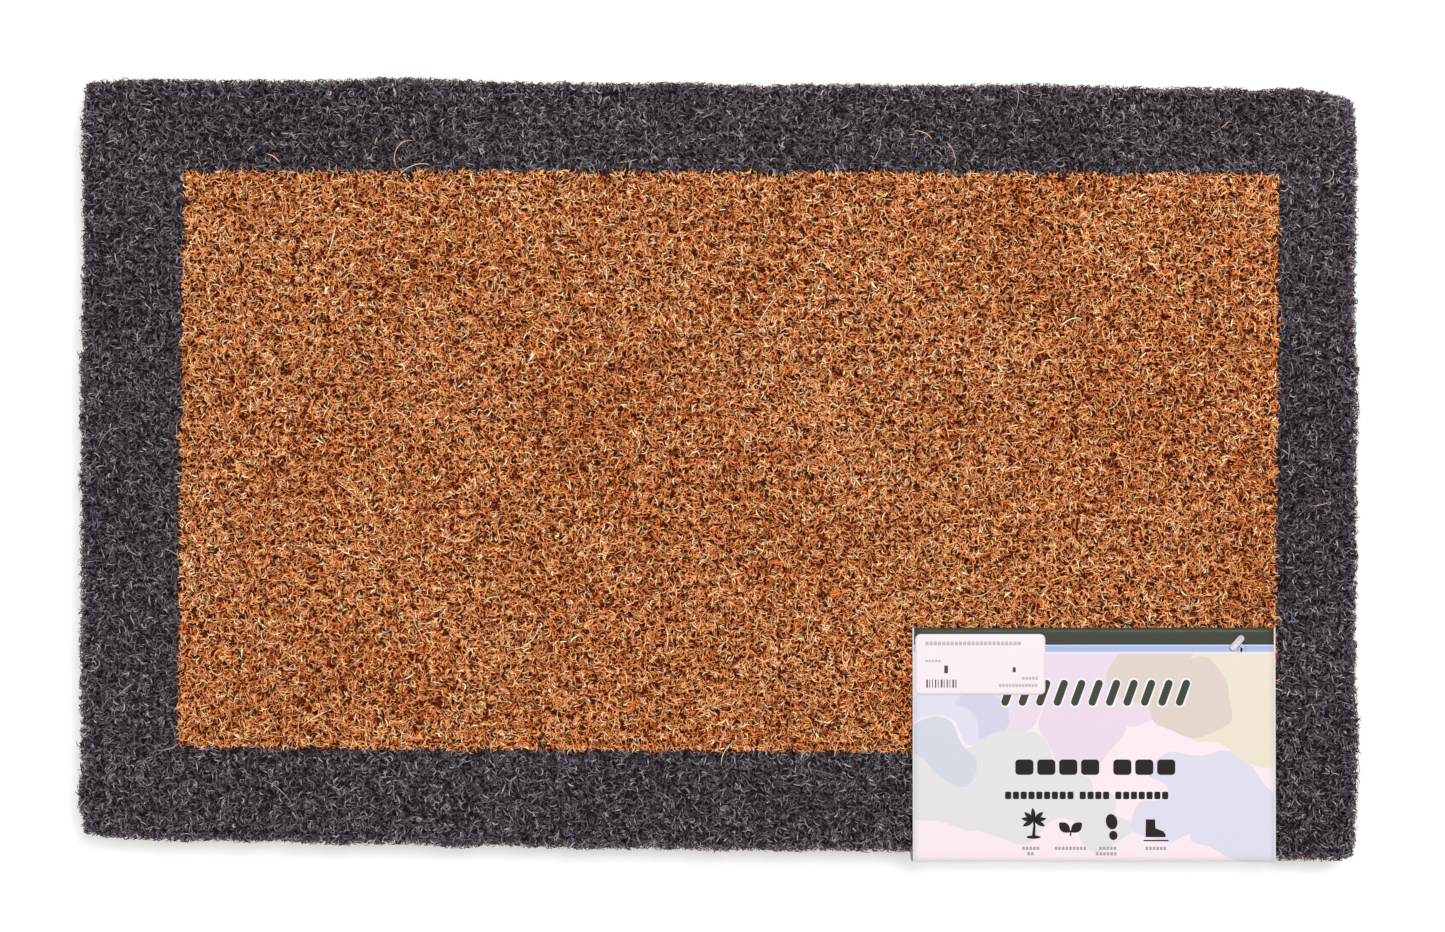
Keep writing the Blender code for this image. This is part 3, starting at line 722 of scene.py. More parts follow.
def make_edge_fibres(dyed):
    """Fibres that stand out of the pile's sides, undyed at their feet."""
    rng = np.random.default_rng(5)
    x, y, outward = edge_places(rng, EDGE_FIBRES)
    depth = rng.gamma(2.0, 1.1 * MM, EDGE_FIBRES) + 2.5 * MM
    foot = rng.uniform(PILE_FOOT - 1.5 * MM, PILE_TOP - 4 * MM, EDGE_FIBRES)
    roots = np.stack([x - depth * np.cos(outward), y - depth * np.sin(outward), foot], -1)
    heading = outward + rng.normal(0, 0.75, EDGE_FIBRES)
    lift = np.radians(rng.uniform(-15, 75, EDGE_FIBRES))
    droop = np.radians(rng.uniform(-50, 45, EDGE_FIBRES))
    curl = rng.normal(0, 1.6, EDGE_FIBRES)
    length = rng.gamma(10, 0.6 * MM, EDGE_FIBRES)
    spines = fibre_spines(roots, heading, lift, droop, curl, length)
    spines[..., 2] = np.clip(spines[..., 2], 1.5 * MM, PILE_TOP + 0.2 * MM)
    trim_to_outline(spines)
    width = FIBRE_WIDTH * 0.9 * rng.lognormal(0, 0.25, EDGE_FIBRES)
    roll = rng.normal(0, 0.8, EDGE_FIBRES)
    tone = np.clip(0.5 + rng.normal(0, 0.2, EDGE_FIBRES), 0.01, 0.99)
    soak = rng.normal(0, 1.5 * MM, EDGE_FIBRES)
    height = dyed_height(spines[..., 2], soak[:, None])
    # Fibres that would poke through the folded card are left out.
    behind_card = (x > CARD_LOW.x - 1 * MM) & (x < CARD_HIGH.x + 1 * MM) & (y < 0)
    kept = settle_spines(spines) & ~behind_card
    facing = (np.round((outward + np.pi / 2) / (np.pi / 2)).astype(int)) % 4
    fibres = (spines, width, roll, tone, height)
    for number, name in enumerate(("front", "right", "back", "left")):
        fibre_piece(f"edge_fibres_{name}", fibres, kept & (facing == number), dyed, "coir_pile_black")


BASE_INSET = 2.5 * MM
BASE_STEP = 3 * MM


def make_base(name, corners, material, slot, node):
    """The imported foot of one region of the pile, a lumpy block on four plan corners, counterclockwise."""
    a, b, c, d = (np.asarray(corner, float) for corner in corners)
    columns = int(np.linalg.norm(b - a) / BASE_STEP)
    rows = int(np.linalg.norm(d - a) / BASE_STEP)
    u, v = np.meshgrid(np.linspace(0, 1, columns), np.linspace(0, 1, rows))
    plan = (
        a * ((1 - u) * (1 - v))[..., None]
        + b * (u * (1 - v))[..., None]
        + c * (u * v)[..., None]
        + d * ((1 - u) * v)[..., None]
    )
    x, y = settle(plan[..., 0], plan[..., 1])
    top = PILE_TOP - 5.2 * MM + 0.9 * MM * smooth_noise(x, y, 6 * MM, 41)
    from_side, from_end = HALF_LENGTH - np.abs(plan[..., 0]), HALF_WIDTH - np.abs(plan[..., 1])
    from_outline = np.minimum(from_side, from_end)
    top = top - 2.5 * MM * np.clip(1 - (from_outline - BASE_INSET) / (4 * MM), 0, 1) ** 2
    upper = np.stack([x, y, top], -1)
    lower = np.stack([x, y, np.full_like(x, PILE_FOOT)], -1)
    finish_piece(object_from_arrays(name, *closed_sheet(upper, lower), material), slot, node)


def make_bases():
    """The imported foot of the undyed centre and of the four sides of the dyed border."""
    # Both bases are coloured darker than their fibres: painted shade of the gaps deep in the pile.
    natural = pile_base_material("coir_base_natural", (110, 48, 14), (58, 14, 3))
    black = pile_base_material("coir_base_black", (52, 48, 50), (14, 12, 14))
    left, right = -HALF_LENGTH + BASE_INSET, HALF_LENGTH - BASE_INSET
    front, back = -HALF_WIDTH + BASE_INSET, HALF_WIDTH - BASE_INSET
    front_left, front_right, back_right, back_left = FIELD
    make_base("pile_base_centre", FIELD, natural, "coir_pile_natural", "pile_centre")
    border = {
        "front": [(left, front), (right, front), (right, front_right[1]), (left, front_left[1])],
        "back": [(left, back_left[1]), (right, back_right[1]), (right, back), (left, back)],
        "left": [(left, front_left[1]), front_left, back_left, (left, back_left[1])],
        "right": [front_right, (right, front_right[1]), (right, back_right[1]), back_right],
    }
    for name, corners in border.items():
        make_base(f"pile_base_{name}", corners, black, "coir_pile_black", f"pile_border_{name}")


# ---- Card ----

CARD_THICKNESS = 0.4 * MM
FOLD_RADIUS = 4.5 * MM
FOLD_BULGE = 0.7 * MM
CARD_WAVE = 0.22 * MM
INK_LIFT = 0.04 * MM
PRINT_MAP = "Print"

CARD_POINTS = node_points("label_card")
CARD_FRONT = CARD_POINTS[CARD_POINTS[:, 2] > CARD_HIGH.z - 0.05 * MM]
CARD_CORNER = extreme(CARD_FRONT, -1, 1)
CARD_EDGE = extreme(CARD_FRONT, 1, 1) - CARD_CORNER
CARD_WIDTH = float(np.linalg.norm(CARD_EDGE))
CARD_ACROSS = CARD_EDGE / CARD_WIDTH
CARD_DOWN = np.array([CARD_ACROSS[1], -CARD_ACROSS[0]])
CARD_PANEL = float(((CARD_POINTS[:, :2] - CARD_CORNER) @ CARD_DOWN).max())
PIN_U = float((np.array([PIN_X, PIN_Y]) - CARD_CORNER) @ CARD_ACROSS)
PIN_V = float((np.array([PIN_X, PIN_Y]) - CARD_CORNER) @ CARD_DOWN)


def card_plan(u, v):
    """Plan position of a place on the card, u across from its left edge and v down from its top."""
    return CARD_CORNER + u[..., None] * CARD_ACROSS + v[..., None] * CARD_DOWN


def card_surface(u, v, lift=0.0):
    """A point over the card's front panel, which lies on the pile with a slight wave."""
    wave = CARD_WAVE * (0.6 + smooth_noise(u * 0.7, v, 45 * MM, 51))
    flatten = np.clip((CARD_PANEL - FOLD_RADIUS - v) / (30 * MM), 0, 1)
    settle_at_pin = np.clip(np.hypot(u - PIN_U, v - PIN_V) / (25 * MM), 0, 1)
    height = CARD_HIGH.z + wave * flatten * settle_at_pin + lift
    return np.concatenate([card_plan(u, v), height[..., None]], -1)


def card_profile():
    """The card's outer face from the back panel's far edge round the fold to the front panel's top edge.

    Each entry is the way along the sheet, the way down the front, the height and the outward direction.
    """
    low, high, radius = CARD_LOW.z, CARD_HIGH.z, FOLD_RADIUS
    reach = CARD_PANEL - radius
    places = [(v, high, 0.0, 1.0) for v in np.linspace(0, reach, 48)]
    for angle in np.linspace(90, 0, 9)[1:]:
        c, t = math.cos(math.radians(angle)), math.sin(math.radians(angle))
        places.append((reach + radius * c, high - radius + radius * t, c, t))
    upright = high - low - 2 * radius
    for share in np.linspace(0, 1, 10)[1:-1]:
        bulge = FOLD_BULGE * math.sin(math.pi * share) ** 2
        places.append((CARD_PANEL + bulge, high - radius - upright * share, 1.0, 0.0))
    for angle in np.linspace(0, -90, 9):
        c, t = math.cos(math.radians(angle)), math.sin(math.radians(angle))
        places.append((reach + radius * c, low + radius + radius * t, c, t))
    places += [(v, low, 0.0, -1.0) for v in np.linspace(reach, 0, 48)[1:]]
    places = np.array(places)
    way = np.concatenate([[0], np.cumsum(np.hypot(*np.diff(places[:, :2], axis=0).T))])
    return way[::-1], places[::-1]


def slit_outline(grow=0.0, points=20):
    """The needle's slit beside the pin: a drop that is widest at its lower end, as (u, v) places."""
    angles = np.linspace(2 * np.pi, 0, points, endpoint=False)
    share = (1 - np.cos(angles)) / 2
    half = (0.5 * MM + 0.45 * MM * share) + grow
    longer = np.where(np.cos(angles) > 0, -grow, grow) * np.abs(np.cos(angles))
    along = -1.2 * MM + 4.3 * MM * share + longer
    lean = -0.28 * MM * share
    return np.stack([PIN_U + lean + half * np.sin(angles), PIN_V + along], -1)


def card_material():
    """Printed card: plain edges, a dark band, a pale blue stripe and soft pastel camouflage below."""
    shader = Shader("printed_card_front", 0.42, Specular_IOR_Level=0.25)
    place = shader.map_place(PRINT_MAP)
    across, down, _ = shader.split(place)
    shifted = shader.nodes.new("ShaderNodeVectorMath")
    shader.links.new(place, shifted.inputs[0])
    shifted.inputs[1].default_value = (0.31, 0.17, 0)
    noise_u = shader.math("SUBTRACT", shader.noise(26, 0, place), 0.5)
    noise_v = shader.math("SUBTRACT", shader.noise(30, 0, shifted.outputs[0]), 0.5)
    wander_u = shader.math("MULTIPLY", noise_u, 0.055)
    wander_v = shader.math("MULTIPLY", noise_v, 0.050)
    warped_u = shader.math("ADD", across, wander_u)
    warped_v = shader.math("ADD", down, wander_v)
    color = linear(PRINT_PINK)
    for u, v, half_u, half_v, tint in PRINT_BLOBS:
        du = shader.math("DIVIDE", shader.math("SUBTRACT", warped_u, u * MM), half_u * MM)
        dv = shader.math("DIVIDE", shader.math("SUBTRACT", warped_v, v * MM), half_v * MM)
        reach = shader.math("ADD", shader.math("MULTIPLY", du, du), shader.math("MULTIPLY", dv, dv))
        inside = shader.math("LESS_THAN", reach, 1)
        color = shader.mix(inside, color, linear(tint))
    for start, tint in PRINT_BANDS:
        above = shader.math("LESS_THAN", down, start * MM)
        color = shader.mix(above, color, linear(tint))
    off_middle = shader.math("ABSOLUTE", shader.math("SUBTRACT", across, CARD_WIDTH / 2))
    at_side = shader.math("GREATER_THAN", off_middle, CARD_WIDTH / 2 - 0.9 * MM)
    color = shader.mix(at_side, color, linear((252, 250, 252)))
    on_back = shader.math("GREATER_THAN", down, CARD_PANEL + 8 * MM)
    color = shader.mix(on_back, color, linear((243, 241, 243)))
    return shader.coated(color, 0.35 * MM, 0.05, (0.36, 0.52), 0.02 * MM)


# The print, in millimetres from the card's top left corner: each blob's centre, half sizes and colour.
PRINT_PINK = (252, 236, 242)
PRINT_BLOBS = [
    (84, 28, 76, 34, (238, 221, 234)),
    (104, 50, 22, 30, (238, 219, 234)),
    (22, 44, 30, 16, (229, 226, 241)),
    (38, 52, 13, 9, (217, 212, 234)),
    (45, 92, 54, 34, (232, 228, 230)),
    (104, 108, 34, 12, (232, 228, 230)),
    (16, 76, 24, 15, (214, 218, 229)),
    (176, 104, 42, 24, (226, 223, 239)),
    (196, 128, 30, 16, (226, 223, 239)),
    (198, 38, 40, 46, (239, 229, 210)),
    (172, 20, 15, 14, (239, 229, 210)),
    (137, 22, 21, 23, (227, 211, 203)),
    (161, 42, 22, 20, (227, 211, 203)),
]
# Bands from the card's top edge down to their ends in millimetres; later ones lie over earlier ones.
PRINT_BANDS = [
    (15.0, (252, 251, 254)),
    (14.4, (196, 196, 236)),
    (13.4, (174, 190, 236)),
    (10.6, (212, 222, 248)),
    (9.9, (26, 26, 22)),
    (9.4, (63, 65, 53)),
]


def make_card():
    """The printed card, folded round the mat's front edge, with the needle's slit cut through it."""
    way, places = card_profile()
    u = np.linspace(0, CARD_WIDTH, 44)
    grid_u = np.broadcast_to(u[None, :], (len(way), len(u)))
    down = np.broadcast_to(places[:, 0][:, None], grid_u.shape)
    plan = card_plan(grid_u, down)
    on_front = (places[:, 3] > 0.999)[:, None]
    height = np.where(on_front, card_surface(grid_u, down)[..., 2], places[:, 1][:, None])
    outer = np.concatenate([plan, height[..., None]], -1)
    outward = places[:, 2][:, None, None] * np.append(CARD_DOWN, 0)
    outward = outward + places[:, 3][:, None, None] * np.array([0, 0, 1])
    inner = outer - CARD_THICKNESS * outward
    points, quads = closed_sheet(outer, inner)
    card = object_from_arrays("label_card_sheet", points, quads, card_material())
    vertex_print = np.stack([grid_u, np.broadcast_to(way[:, None], grid_u.shape)], -1).reshape(-1, 2)
    corner_print = np.concatenate([vertex_print, vertex_print])[quads]
    layer = card.data.uv_layers.new(name=PRINT_MAP, do_init=False)
    layer.uv.foreach_set("vector", np.ascontiguousarray(corner_print, np.float32).ravel())
    cut_through(card, slit_outline())
    return finish_piece(card, "printed_card", "label_card")


def cut_through(made, outline, operation="DIFFERENCE"):
    """Cuts a hole of the given plan outline right through a piece, or keeps only what lies inside it."""
    plan = card_plan(outline[:, 0], outline[:, 1])
    count = len(plan)
    levels = [np.column_stack([plan, np.full(count, z)]) for z in (-5 * MM, CARD_HIGH.z + 5 * MM)]
    bottom, top = list(range(count))[::-1], list(range(count, 2 * count))
    walls = [(i, (i + 1) % count, (i + 1) % count + count, i + count) for i in range(count)]
    mesh = bpy.data.meshes.new("cutter")
    mesh.from_pydata([tuple(p) for level in levels for p in level], [], [bottom, top, *walls])
    cutter = add_object("cutter", mesh)
    hole = made.modifiers.new("hole", "BOOLEAN")
    hole.object = cutter
    hole.operation = operation
    hole.solver = "EXACT"
    ready = made.evaluated_get(bpy.context.evaluated_depsgraph_get())
    mesh = bpy.data.meshes.new_from_object(ready)
    made.modifiers.clear()
    made.data = mesh
    bpy.data.objects.remove(cutter)


def ink_material(name, color):
    """Printing ink of one colour."""
    shader = Shader(name, 0.5, Specular_IOR_Level=0.2)
    return shader.coated(linear(color), 0.3 * MM, 0.12, (0.42, 0.58), 0.015 * MM)


def joined(shapes):
    """The points and faces of several shapes as one."""
    points, faces = [], []
    for shape_points, shape_faces in shapes:
        first = len(points)
        points += np.asarray(shape_points, float).tolist()
        faces += [tuple(first + i for i in face) for face in shape_faces]
    return points, faces


def decal(name, shapes, material, slot, surface, lift=INK_LIFT):
    """Flat shapes of ink lying on a surface; each shape is an outline of (u, v) places."""
    outlines = [np.asarray(shape, float) for shape in shapes]
    flat = [(surface(*outline.T, lift), [range(len(outline))]) for outline in outlines]
    finish_piece(object_from_lists(name, *joined(flat), material), slot)


def turned(outline, u, v, turn):
    """An outline in millimetres, turned by some degrees and moved to (u, v)."""
    a, b = outline[:, 0], outline[:, 1]
    c, t = math.cos(math.radians(turn)), math.sin(math.radians(turn))
    return np.stack([u + a * c - b * t, v + a * t + b * c], -1) * MM


def block(u, v, width, height, rounding=0.6):
    """A rectangle with rounded corners, in millimetres from the card's top left corner."""
    outline = []
    for corner, (side_u, side_v) in enumerate(((1, 1), (1, -1), (-1, -1), (-1, 1))):
        for step in range(4):
            angle = math.radians(90 - 90 * corner - 30 * step)
            along = width / 2 + side_u * (width / 2 - rounding) + rounding * math.cos(angle)
            below = height / 2 + side_v * (height / 2 - rounding) + rounding * math.sin(angle)
            outline.append((u + along, v + below))
    return np.array(outline) * MM


def oval(u, v, half_u, half_v, turn=0.0, points=20):
    """An ellipse turned by some degrees, in millimetres from the card's top left corner."""
    angle = np.linspace(0, -2 * np.pi, points, endpoint=False)
    return turned(np.stack([half_u * np.cos(angle), half_v * np.sin(angle)], -1), u, v, turn)


def leaf(u, v, length, width, turn):
    """A pointed leaf from (u, v), turned by some degrees from straight across."""
    share = np.linspace(0, 1, 9)
    back = share[::-1][1:-1]
    upper = np.stack([share * length, -width / 2 * np.sin(np.pi * share) ** 0.8], -1)
    lower = np.stack([back * length, width / 2 * np.sin(np.pi * back) ** 0.8], -1)
    return turned(np.concatenate([upper, lower]), u, v, turn)[::-1]


def blocks_in_row(u, v, widths, height, gap):
    """Blocks side by side that stand for a line of print; a negative width is an empty space."""
    made = []
    for width in widths:
        if width > 0:
            made.append(block(u, v, width, height, min(height, width) * 0.22))
            u += width + gap
        else:
            u -= width
    return made


def slanted_stroke(u, v, height, width, slant):
    """A round-ended pen stroke that leans to the right."""
    turn = math.degrees(math.atan2(height, slant))
    return oval_bar(u, v, math.hypot(height, slant), width, -turn)


def oval_bar(u, v, length, width, turn):
    """A bar with round ends and its middle at (u, v), turned by some degrees."""
    half = length / 2 - width / 2
    outline = []
    for side, start in ((1, 90), (-1, -90)):
        for step in range(9):
            angle = math.radians(start - 180 * step / 8)
            outline.append((side * half + width / 2 * math.cos(angle), width / 2 * math.sin(angle)))
    return turned(np.array(outline), u, v, turn)


def make_print():
    """The card's print: rows of plain blocks, a row of pen strokes and four simple pictures."""
    white = ink_material("print_white", (253, 251, 253))
    green = ink_material("print_green", (64, 68, 56))
    black = ink_material("print_black", (36, 27, 27))
    grey = ink_material("print_grey", (176, 170, 176))

    pen = [56 + 10.2 * number for number in range(11)]
    strokes = [slanted_stroke(u, 38, 15, 4.4, 5.5) for u in pen]
    halos = [slanted_stroke(u, 38, 17, 6.2, 5.5) for u in pen]
    decal("card_print_halo", halos, white, "printed_card", card_surface, INK_LIFT)
    decal("card_print_green", strokes, green, "printed_card", card_surface, 2 * INK_LIFT)

    title = blocks_in_row(60, 77, [10.6] * 4 + [-6] + [10.6] * 3, 9, 2.2)
    subtitle_widths = [3.6] * 9 + [-2.6] + [3.6] * 4 + [-2.6] + [3.6] * 7
    subtitle = blocks_in_row(54, 95.8, subtitle_widths, 4.4, 0.95)
    decal("card_print_black", title + subtitle + pictures(), black, "printed_card", card_surface)

    captions = []
    for u, v, letters in (
        (64, 128, 5),
        (67, 131.2, 2),
        (83, 128, 9),
        (109, 128, 5),
        (107, 131.2, 6),
        (136, 128, 6),
    ):
        captions += blocks_in_row(u, v, [1.5] * letters, 1.9, 0.6)
    decal("card_print_grey", captions, grey, "printed_card", card_surface)


def pictures():
    """Four plain pictures in a row: a palm, two leaves, a sole and a boot."""
    trunk = [(71.6, 122), (71.8, 116.5), (71.4, 112.2), (70.2, 112.4), (70.4, 116), (69.6, 122)]
    palm = [np.array(trunk) * MM, oval(70.6, 122.4, 4.2, 1.0)]
    palm += [leaf(70.8, 112.6, 7.4, 2.6, turn) for turn in (-172, -140, -96, -42, -8, 28, 152)]
    leaves = [leaf(91.8, 119.6, 8.4, 5.6, -138), leaf(92.6, 119.6, 8.4, 5.6, -42)]
    leaves += [block(91.8, 118.4, 0.9, 3.4, 0.3)]
    sole = [oval(116.2, 113.4, 3.4, 4.6, -12), oval(117.2, 121.4, 2.5, 2.7, -4)]
    toe = [(136, 122.4), (147.6, 122.4), (147.8, 121), (146.4, 119)]
    leg = [(141.8, 117.2), (141.6, 112), (136.2, 112)]
    boot = [np.array(toe + leg) * MM, block(134.8, 124, 14.6, 0.8, 0.3)]
    return palm + leaves + sole + boot


def make_slit_halo():
    """The torn white paper round the needle's slit."""
    rng = np.random.default_rng(8)
    inner, outer = slit_outline(0.02 * MM), slit_outline(0.55 * MM)
    outer = outer + rng.normal(0, 0.12 * MM, outer.shape)
    count = len(inner)
    strips = [[inner[i], inner[(i + 1) % count], outer[(i + 1) % count], outer[i]] for i in range(count)]
    white = bpy.data.materials["print_white"]
    decal("card_slit_torn_edge", strips, white, "printed_card", card_surface)


# ---- Sticker ----

STICKER_GAP = 0.05 * MM
STICKER_MARGIN = 1 * MM
STICKER_ROUNDING_MM = 3


def make_sticker():
    """The price sticker: paper that follows the card, cut to its rounded outline, and its print."""
    low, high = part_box("price_sticker")
    thickness = float(high.z - low.z)
    off = node_points("price_sticker")[:, :2] - CARD_CORNER
    u, v = off @ CARD_ACROSS, off @ CARD_DOWN
    left, top, width, height = u.min(), v.min(), u.max() - u.min(), v.max() - v.min()
    grid_u, grid_v = np.meshgrid(
        np.linspace(left - STICKER_MARGIN, left + width + STICKER_MARGIN, 30),
        np.linspace(top + height + STICKER_MARGIN, top - STICKER_MARGIN, 15),
    )
    upper = card_surface(grid_u, grid_v, STICKER_GAP + thickness)
    lower = card_surface(grid_u, grid_v, STICKER_GAP)
    shader = Shader("sticker_paper_pink", 0.4, Specular_IOR_Level=0.25)
    material = shader.coated(linear((250, 238, 243)), 0.3 * MM, 0.05, (0.34, 0.48), 0.015 * MM)
    sheet = closed_sheet(upper, lower)
    sticker = object_from_arrays("price_sticker_label", *sheet, material, smooth=False)
    outline = block(left / MM, top / MM, width / MM, height / MM, STICKER_ROUNDING_MM)
    cut_through(sticker, outline, "INTERSECT")
    finish_piece(sticker, "sticker_paper", "price_sticker")
    grey = ink_material("sticker_grey", (208, 192, 200))
    dark = ink_material("sticker_dark", (96, 66, 76))

    def on_sticker(u, v, lift):
        return card_surface(u, v, STICKER_GAP + thickness + lift)

    lines = blocks_in_row(7.5, 8, [1.9] * 23, 2.2, 0.55)
    lines += blocks_in_row(7.5, 18.6, [1.4] * 5, 1.4, 0.45)
    lines += blocks_in_row(64, 28.6, [1.5] * 5, 1.8, 0.45)
    lines += blocks_in_row(50.5, 32.8, [1.5] * 12, 1.8, 0.4)
    decal("sticker_lines", lines, grey, "sticker_paper", on_sticker)
    widths = (0.9, 0.45, 0.45, 0.7, 0.45, 0.9, 0.45, 0.7, 0.45, 0.9, 0.6)
    bars = [block(8 + 1.7 * i, 30.2, width, 4.8, 0.1) for i, width in enumerate(widths)]
    bars += blocks_in_row(18.5, 22, [2.2], 4.6, 0.6) + blocks_in_row(58.5, 23, [1.8], 3.0, 0.6)
    decal("sticker_bars", bars, dark, "sticker_paper", on_sticker)


# ---- Tag pin ----

PADDLE_TURN = math.radians(48)
PADDLE_LENGTH = 10.5 * MM
PADDLE_WIDTH = 3.8 * MM
PADDLE_THICKNESS = 1.1 * MM
# How far the paddle's middle lies from the filament, and how wide its raised rim is.
PADDLE_OFFSET = 4 * MM
PADDLE_RIM_MM = 0.5
NECK_RADIUS = 0.45 * MM
FILAMENT_RADIUS = 0.33 * MM
PIN_BAR_RADIUS = 0.35 * MM
PIN_BAR_REACH = 4.5 * MM


def make_pin():
    """A clear plastic pin: a flat paddle with a raised rim, a thin filament and a bar behind the mat."""
    shader = Shader("tag_pin_clear", 0.25, Transmission_Weight=0.25, IOR=1.45)
    material = shader.coated(linear((244, 238, 246)), 0.8 * MM, 0.06, (0.18, 0.36), 0.03 * MM)
    pin_low, pin_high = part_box("tag_pin")
    top = pin_high.z
    along = np.array([math.cos(PADDLE_TURN), math.sin(PADDLE_TURN)])
    side = np.array([-along[1], along[0]])
    centre = np.array([PIN_X, PIN_Y]) + PADDLE_OFFSET * side
    length, width = PADDLE_LENGTH / MM, PADDLE_WIDTH / MM
    capsule = oval_bar(0, 0, length, width, 0)
    inset = oval_bar(0, 0, length - 2 * PADDLE_RIM_MM, width - 2 * PADDLE_RIM_MM, 0)
    paddle = []
    loops = [
        (capsule * 0.94, top - PADDLE_THICKNESS),
        (capsule, top - 0.75 * PADDLE_THICKNESS),
        (capsule, top - 0.2 * MM),
        ((capsule + inset) / 2, top),
        (inset, top - 0.15 * MM),
        (inset * 0.97, top - 0.4 * MM),
    ]
    for loop, z in loops:
        paddle += [(*(centre + a * along + b * side), z) for a, b in loop]
    shapes = [(paddle, ring_faces(len(loops), len(capsule)))]

    head = np.array([PIN_X, PIN_Y, top - 0.6 * MM])
    paddle_side = np.array([*(centre - side * PADDLE_WIDTH / 2), top - 0.6 * MM])
    foot = np.array([PIN_X, PIN_Y, pin_low.z + PIN_BAR_RADIUS])
    bar = PIN_BAR_REACH * np.array([*along, 0])
    for path, radius in (
        ([paddle_side + 0.8 * MM * np.array([*side, 0]), (paddle_side + head) / 2, head], NECK_RADIUS),
        ([head + (0, 0, 0.3 * MM), (head + foot) / 2, foot], FILAMENT_RADIUS),
        ([foot - bar, foot, foot + bar], PIN_BAR_RADIUS),
    ):
        shapes.append(tube_arrays(np.array(path), radius, 8))
    pin = object_from_lists("tag_pin_moulding", *joined(shapes), material, smooth=True)
    finish_piece(pin, "tag_pin_plastic", "tag_pin", body=PIN_BODY)


# ---- Yarns ----


def tube_frames(path):
    """Two directions across a path at each of its points."""
    ahead = np.gradient(path, axis=0)
    ahead /= np.linalg.norm(ahead, axis=1, keepdims=True) + 1e-12
    upright = np.where(np.abs(ahead[:, 2:]) > 0.9, np.array([[1.0, 0, 0]]), np.array([[0, 0, 1.0]]))
    side = np.cross(upright, ahead)
    side /= np.linalg.norm(side, axis=1, keepdims=True) + 1e-12
    return side, np.cross(ahead, side)


def ring_faces(levels, count):
    """The walls between rings of points, and a face over each end."""
    faces = []
    for level in range(levels - 1):
        low, high = level * count, (level + 1) * count
        for i in range(count):
            j = (i + 1) % count
            faces.append((low + i, low + j, high + j, high + i))
    faces.append(tuple(range(count))[::-1])
    faces.append(tuple((levels - 1) * count + i for i in range(count)))
    return faces


def tube_arrays(path, radius, sides, squash=1.0, ends=1.0):
    """Points and faces of a round tube along a path; squash is its height against its width."""
    side, over = tube_frames(path)
    radius = np.broadcast_to(np.asarray(radius, float), (len(path),)).copy()
    radius[[0, -1]] *= ends
    angles = np.arange(sides) / sides * 2 * np.pi
    squash = np.broadcast_to(np.asarray(squash, float), (len(path),))[:, None, None]
    across = np.cos(angles)[None, :, None] * side[:, None, :]
    ring = across + squash * np.sin(angles)[None, :, None] * over[:, None, :]
    points = (path[:, None, :] + radius[:, None, None] * ring).reshape(-1, 3)
    return points, ring_faces(len(path), sides)


def yarn_object(name, paths, material, slot, *nodes, sides=7, ends=0.55):
    """A piece made of tubes, from their paths, radii and, where flattened, heights' shares of those."""
    tubes = [
        tube_arrays(np.asarray(path, float), radius, sides, *(squash or [1.0]), ends)
        for path, radius, *squash in paths
    ]
    made = object_from_lists(name, *joined(tubes), material, smooth=True)
    return finish_piece(made, slot, *nodes)


def plies(path, radius, pitch, count=2):
    """The strands of a yarn that is twisted along a path, each with its radius."""
    side, over = tube_frames(path)
    way = np.concatenate([[0], np.cumsum(np.linalg.norm(np.diff(path, axis=0), axis=1))])
    strands = []
    for number in range(count):
        angle = 2 * np.pi * (way / pitch + number / count)
        orbit = 0.48 * radius * (np.cos(angle)[:, None] * side + np.sin(angle)[:, None] * over)
        strands.append((path + orbit, 0.56 * radius))
    return strands


def even_path(points, step):
    """Points at even steps along a line through the given ones."""
    points = np.asarray(points, float)
    way = np.concatenate([[0], np.cumsum(np.linalg.norm(np.diff(points, axis=0), axis=1))])
    places = np.linspace(0, way[-1], max(2, int(way[-1] / step)))
    return np.stack([np.interp(places, way, points[:, axis]) for axis in range(3)], -1)


CHAINS = [name for name in frame["nodes"] if name.startswith("warp_chain_")]
CHAIN_SWING = 2.7 * MM
PLAIT_PITCH = 4 * ROW_PITCH
TWINE_RADIUS = 0.6 * MM
TWINE_TWIST = 5 * MM
HEM_TWIST = 11 * MM


def make_chains(material):
    """Each warp is a plait of three coir strands along the width of the mat."""
    rng = np.random.default_rng(12)
    for name in sorted(CHAINS):
        low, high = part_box(name)
        middle = (low.x + high.x) / 2
        y = np.linspace(low.y, high.y, 150)
        start = rng.uniform(0, 2 * np.pi)
        card_gap = notch_share(middle, y)
        floor = high.z * 0.38 * card_gap
        paths = []
        for strand in range(3):
            turn = 2 * np.pi * y / PLAIT_PITCH + start + strand * 2 * np.pi / 3
            radius = (high.z - floor) * 0.30
            x = middle + CHAIN_SWING * np.sin(turn)
            z = (floor + high.z) / 2 + ((high.z - floor) / 2 - radius) * np.sin(2 * turn)
            paths.append((np.stack([x, y, z], -1), radius))
        yarn_object(f"{name}_plait", paths, material, "coir_warp", name)


def notch_share(x, y):
    """1 where the card's back panel runs under the mat, 0 away from it."""
    from_left = np.clip((x - CARD_LOW.x + 6 * MM) / (1 * MM), 0, 1)
    from_right = np.clip((CARD_HIGH.x + 6 * MM - x) / (1 * MM), 0, 1)
    return from_left * from_right * np.clip((CARD_HIGH.y + 9 * MM - y) / (6 * MM), 0, 1)


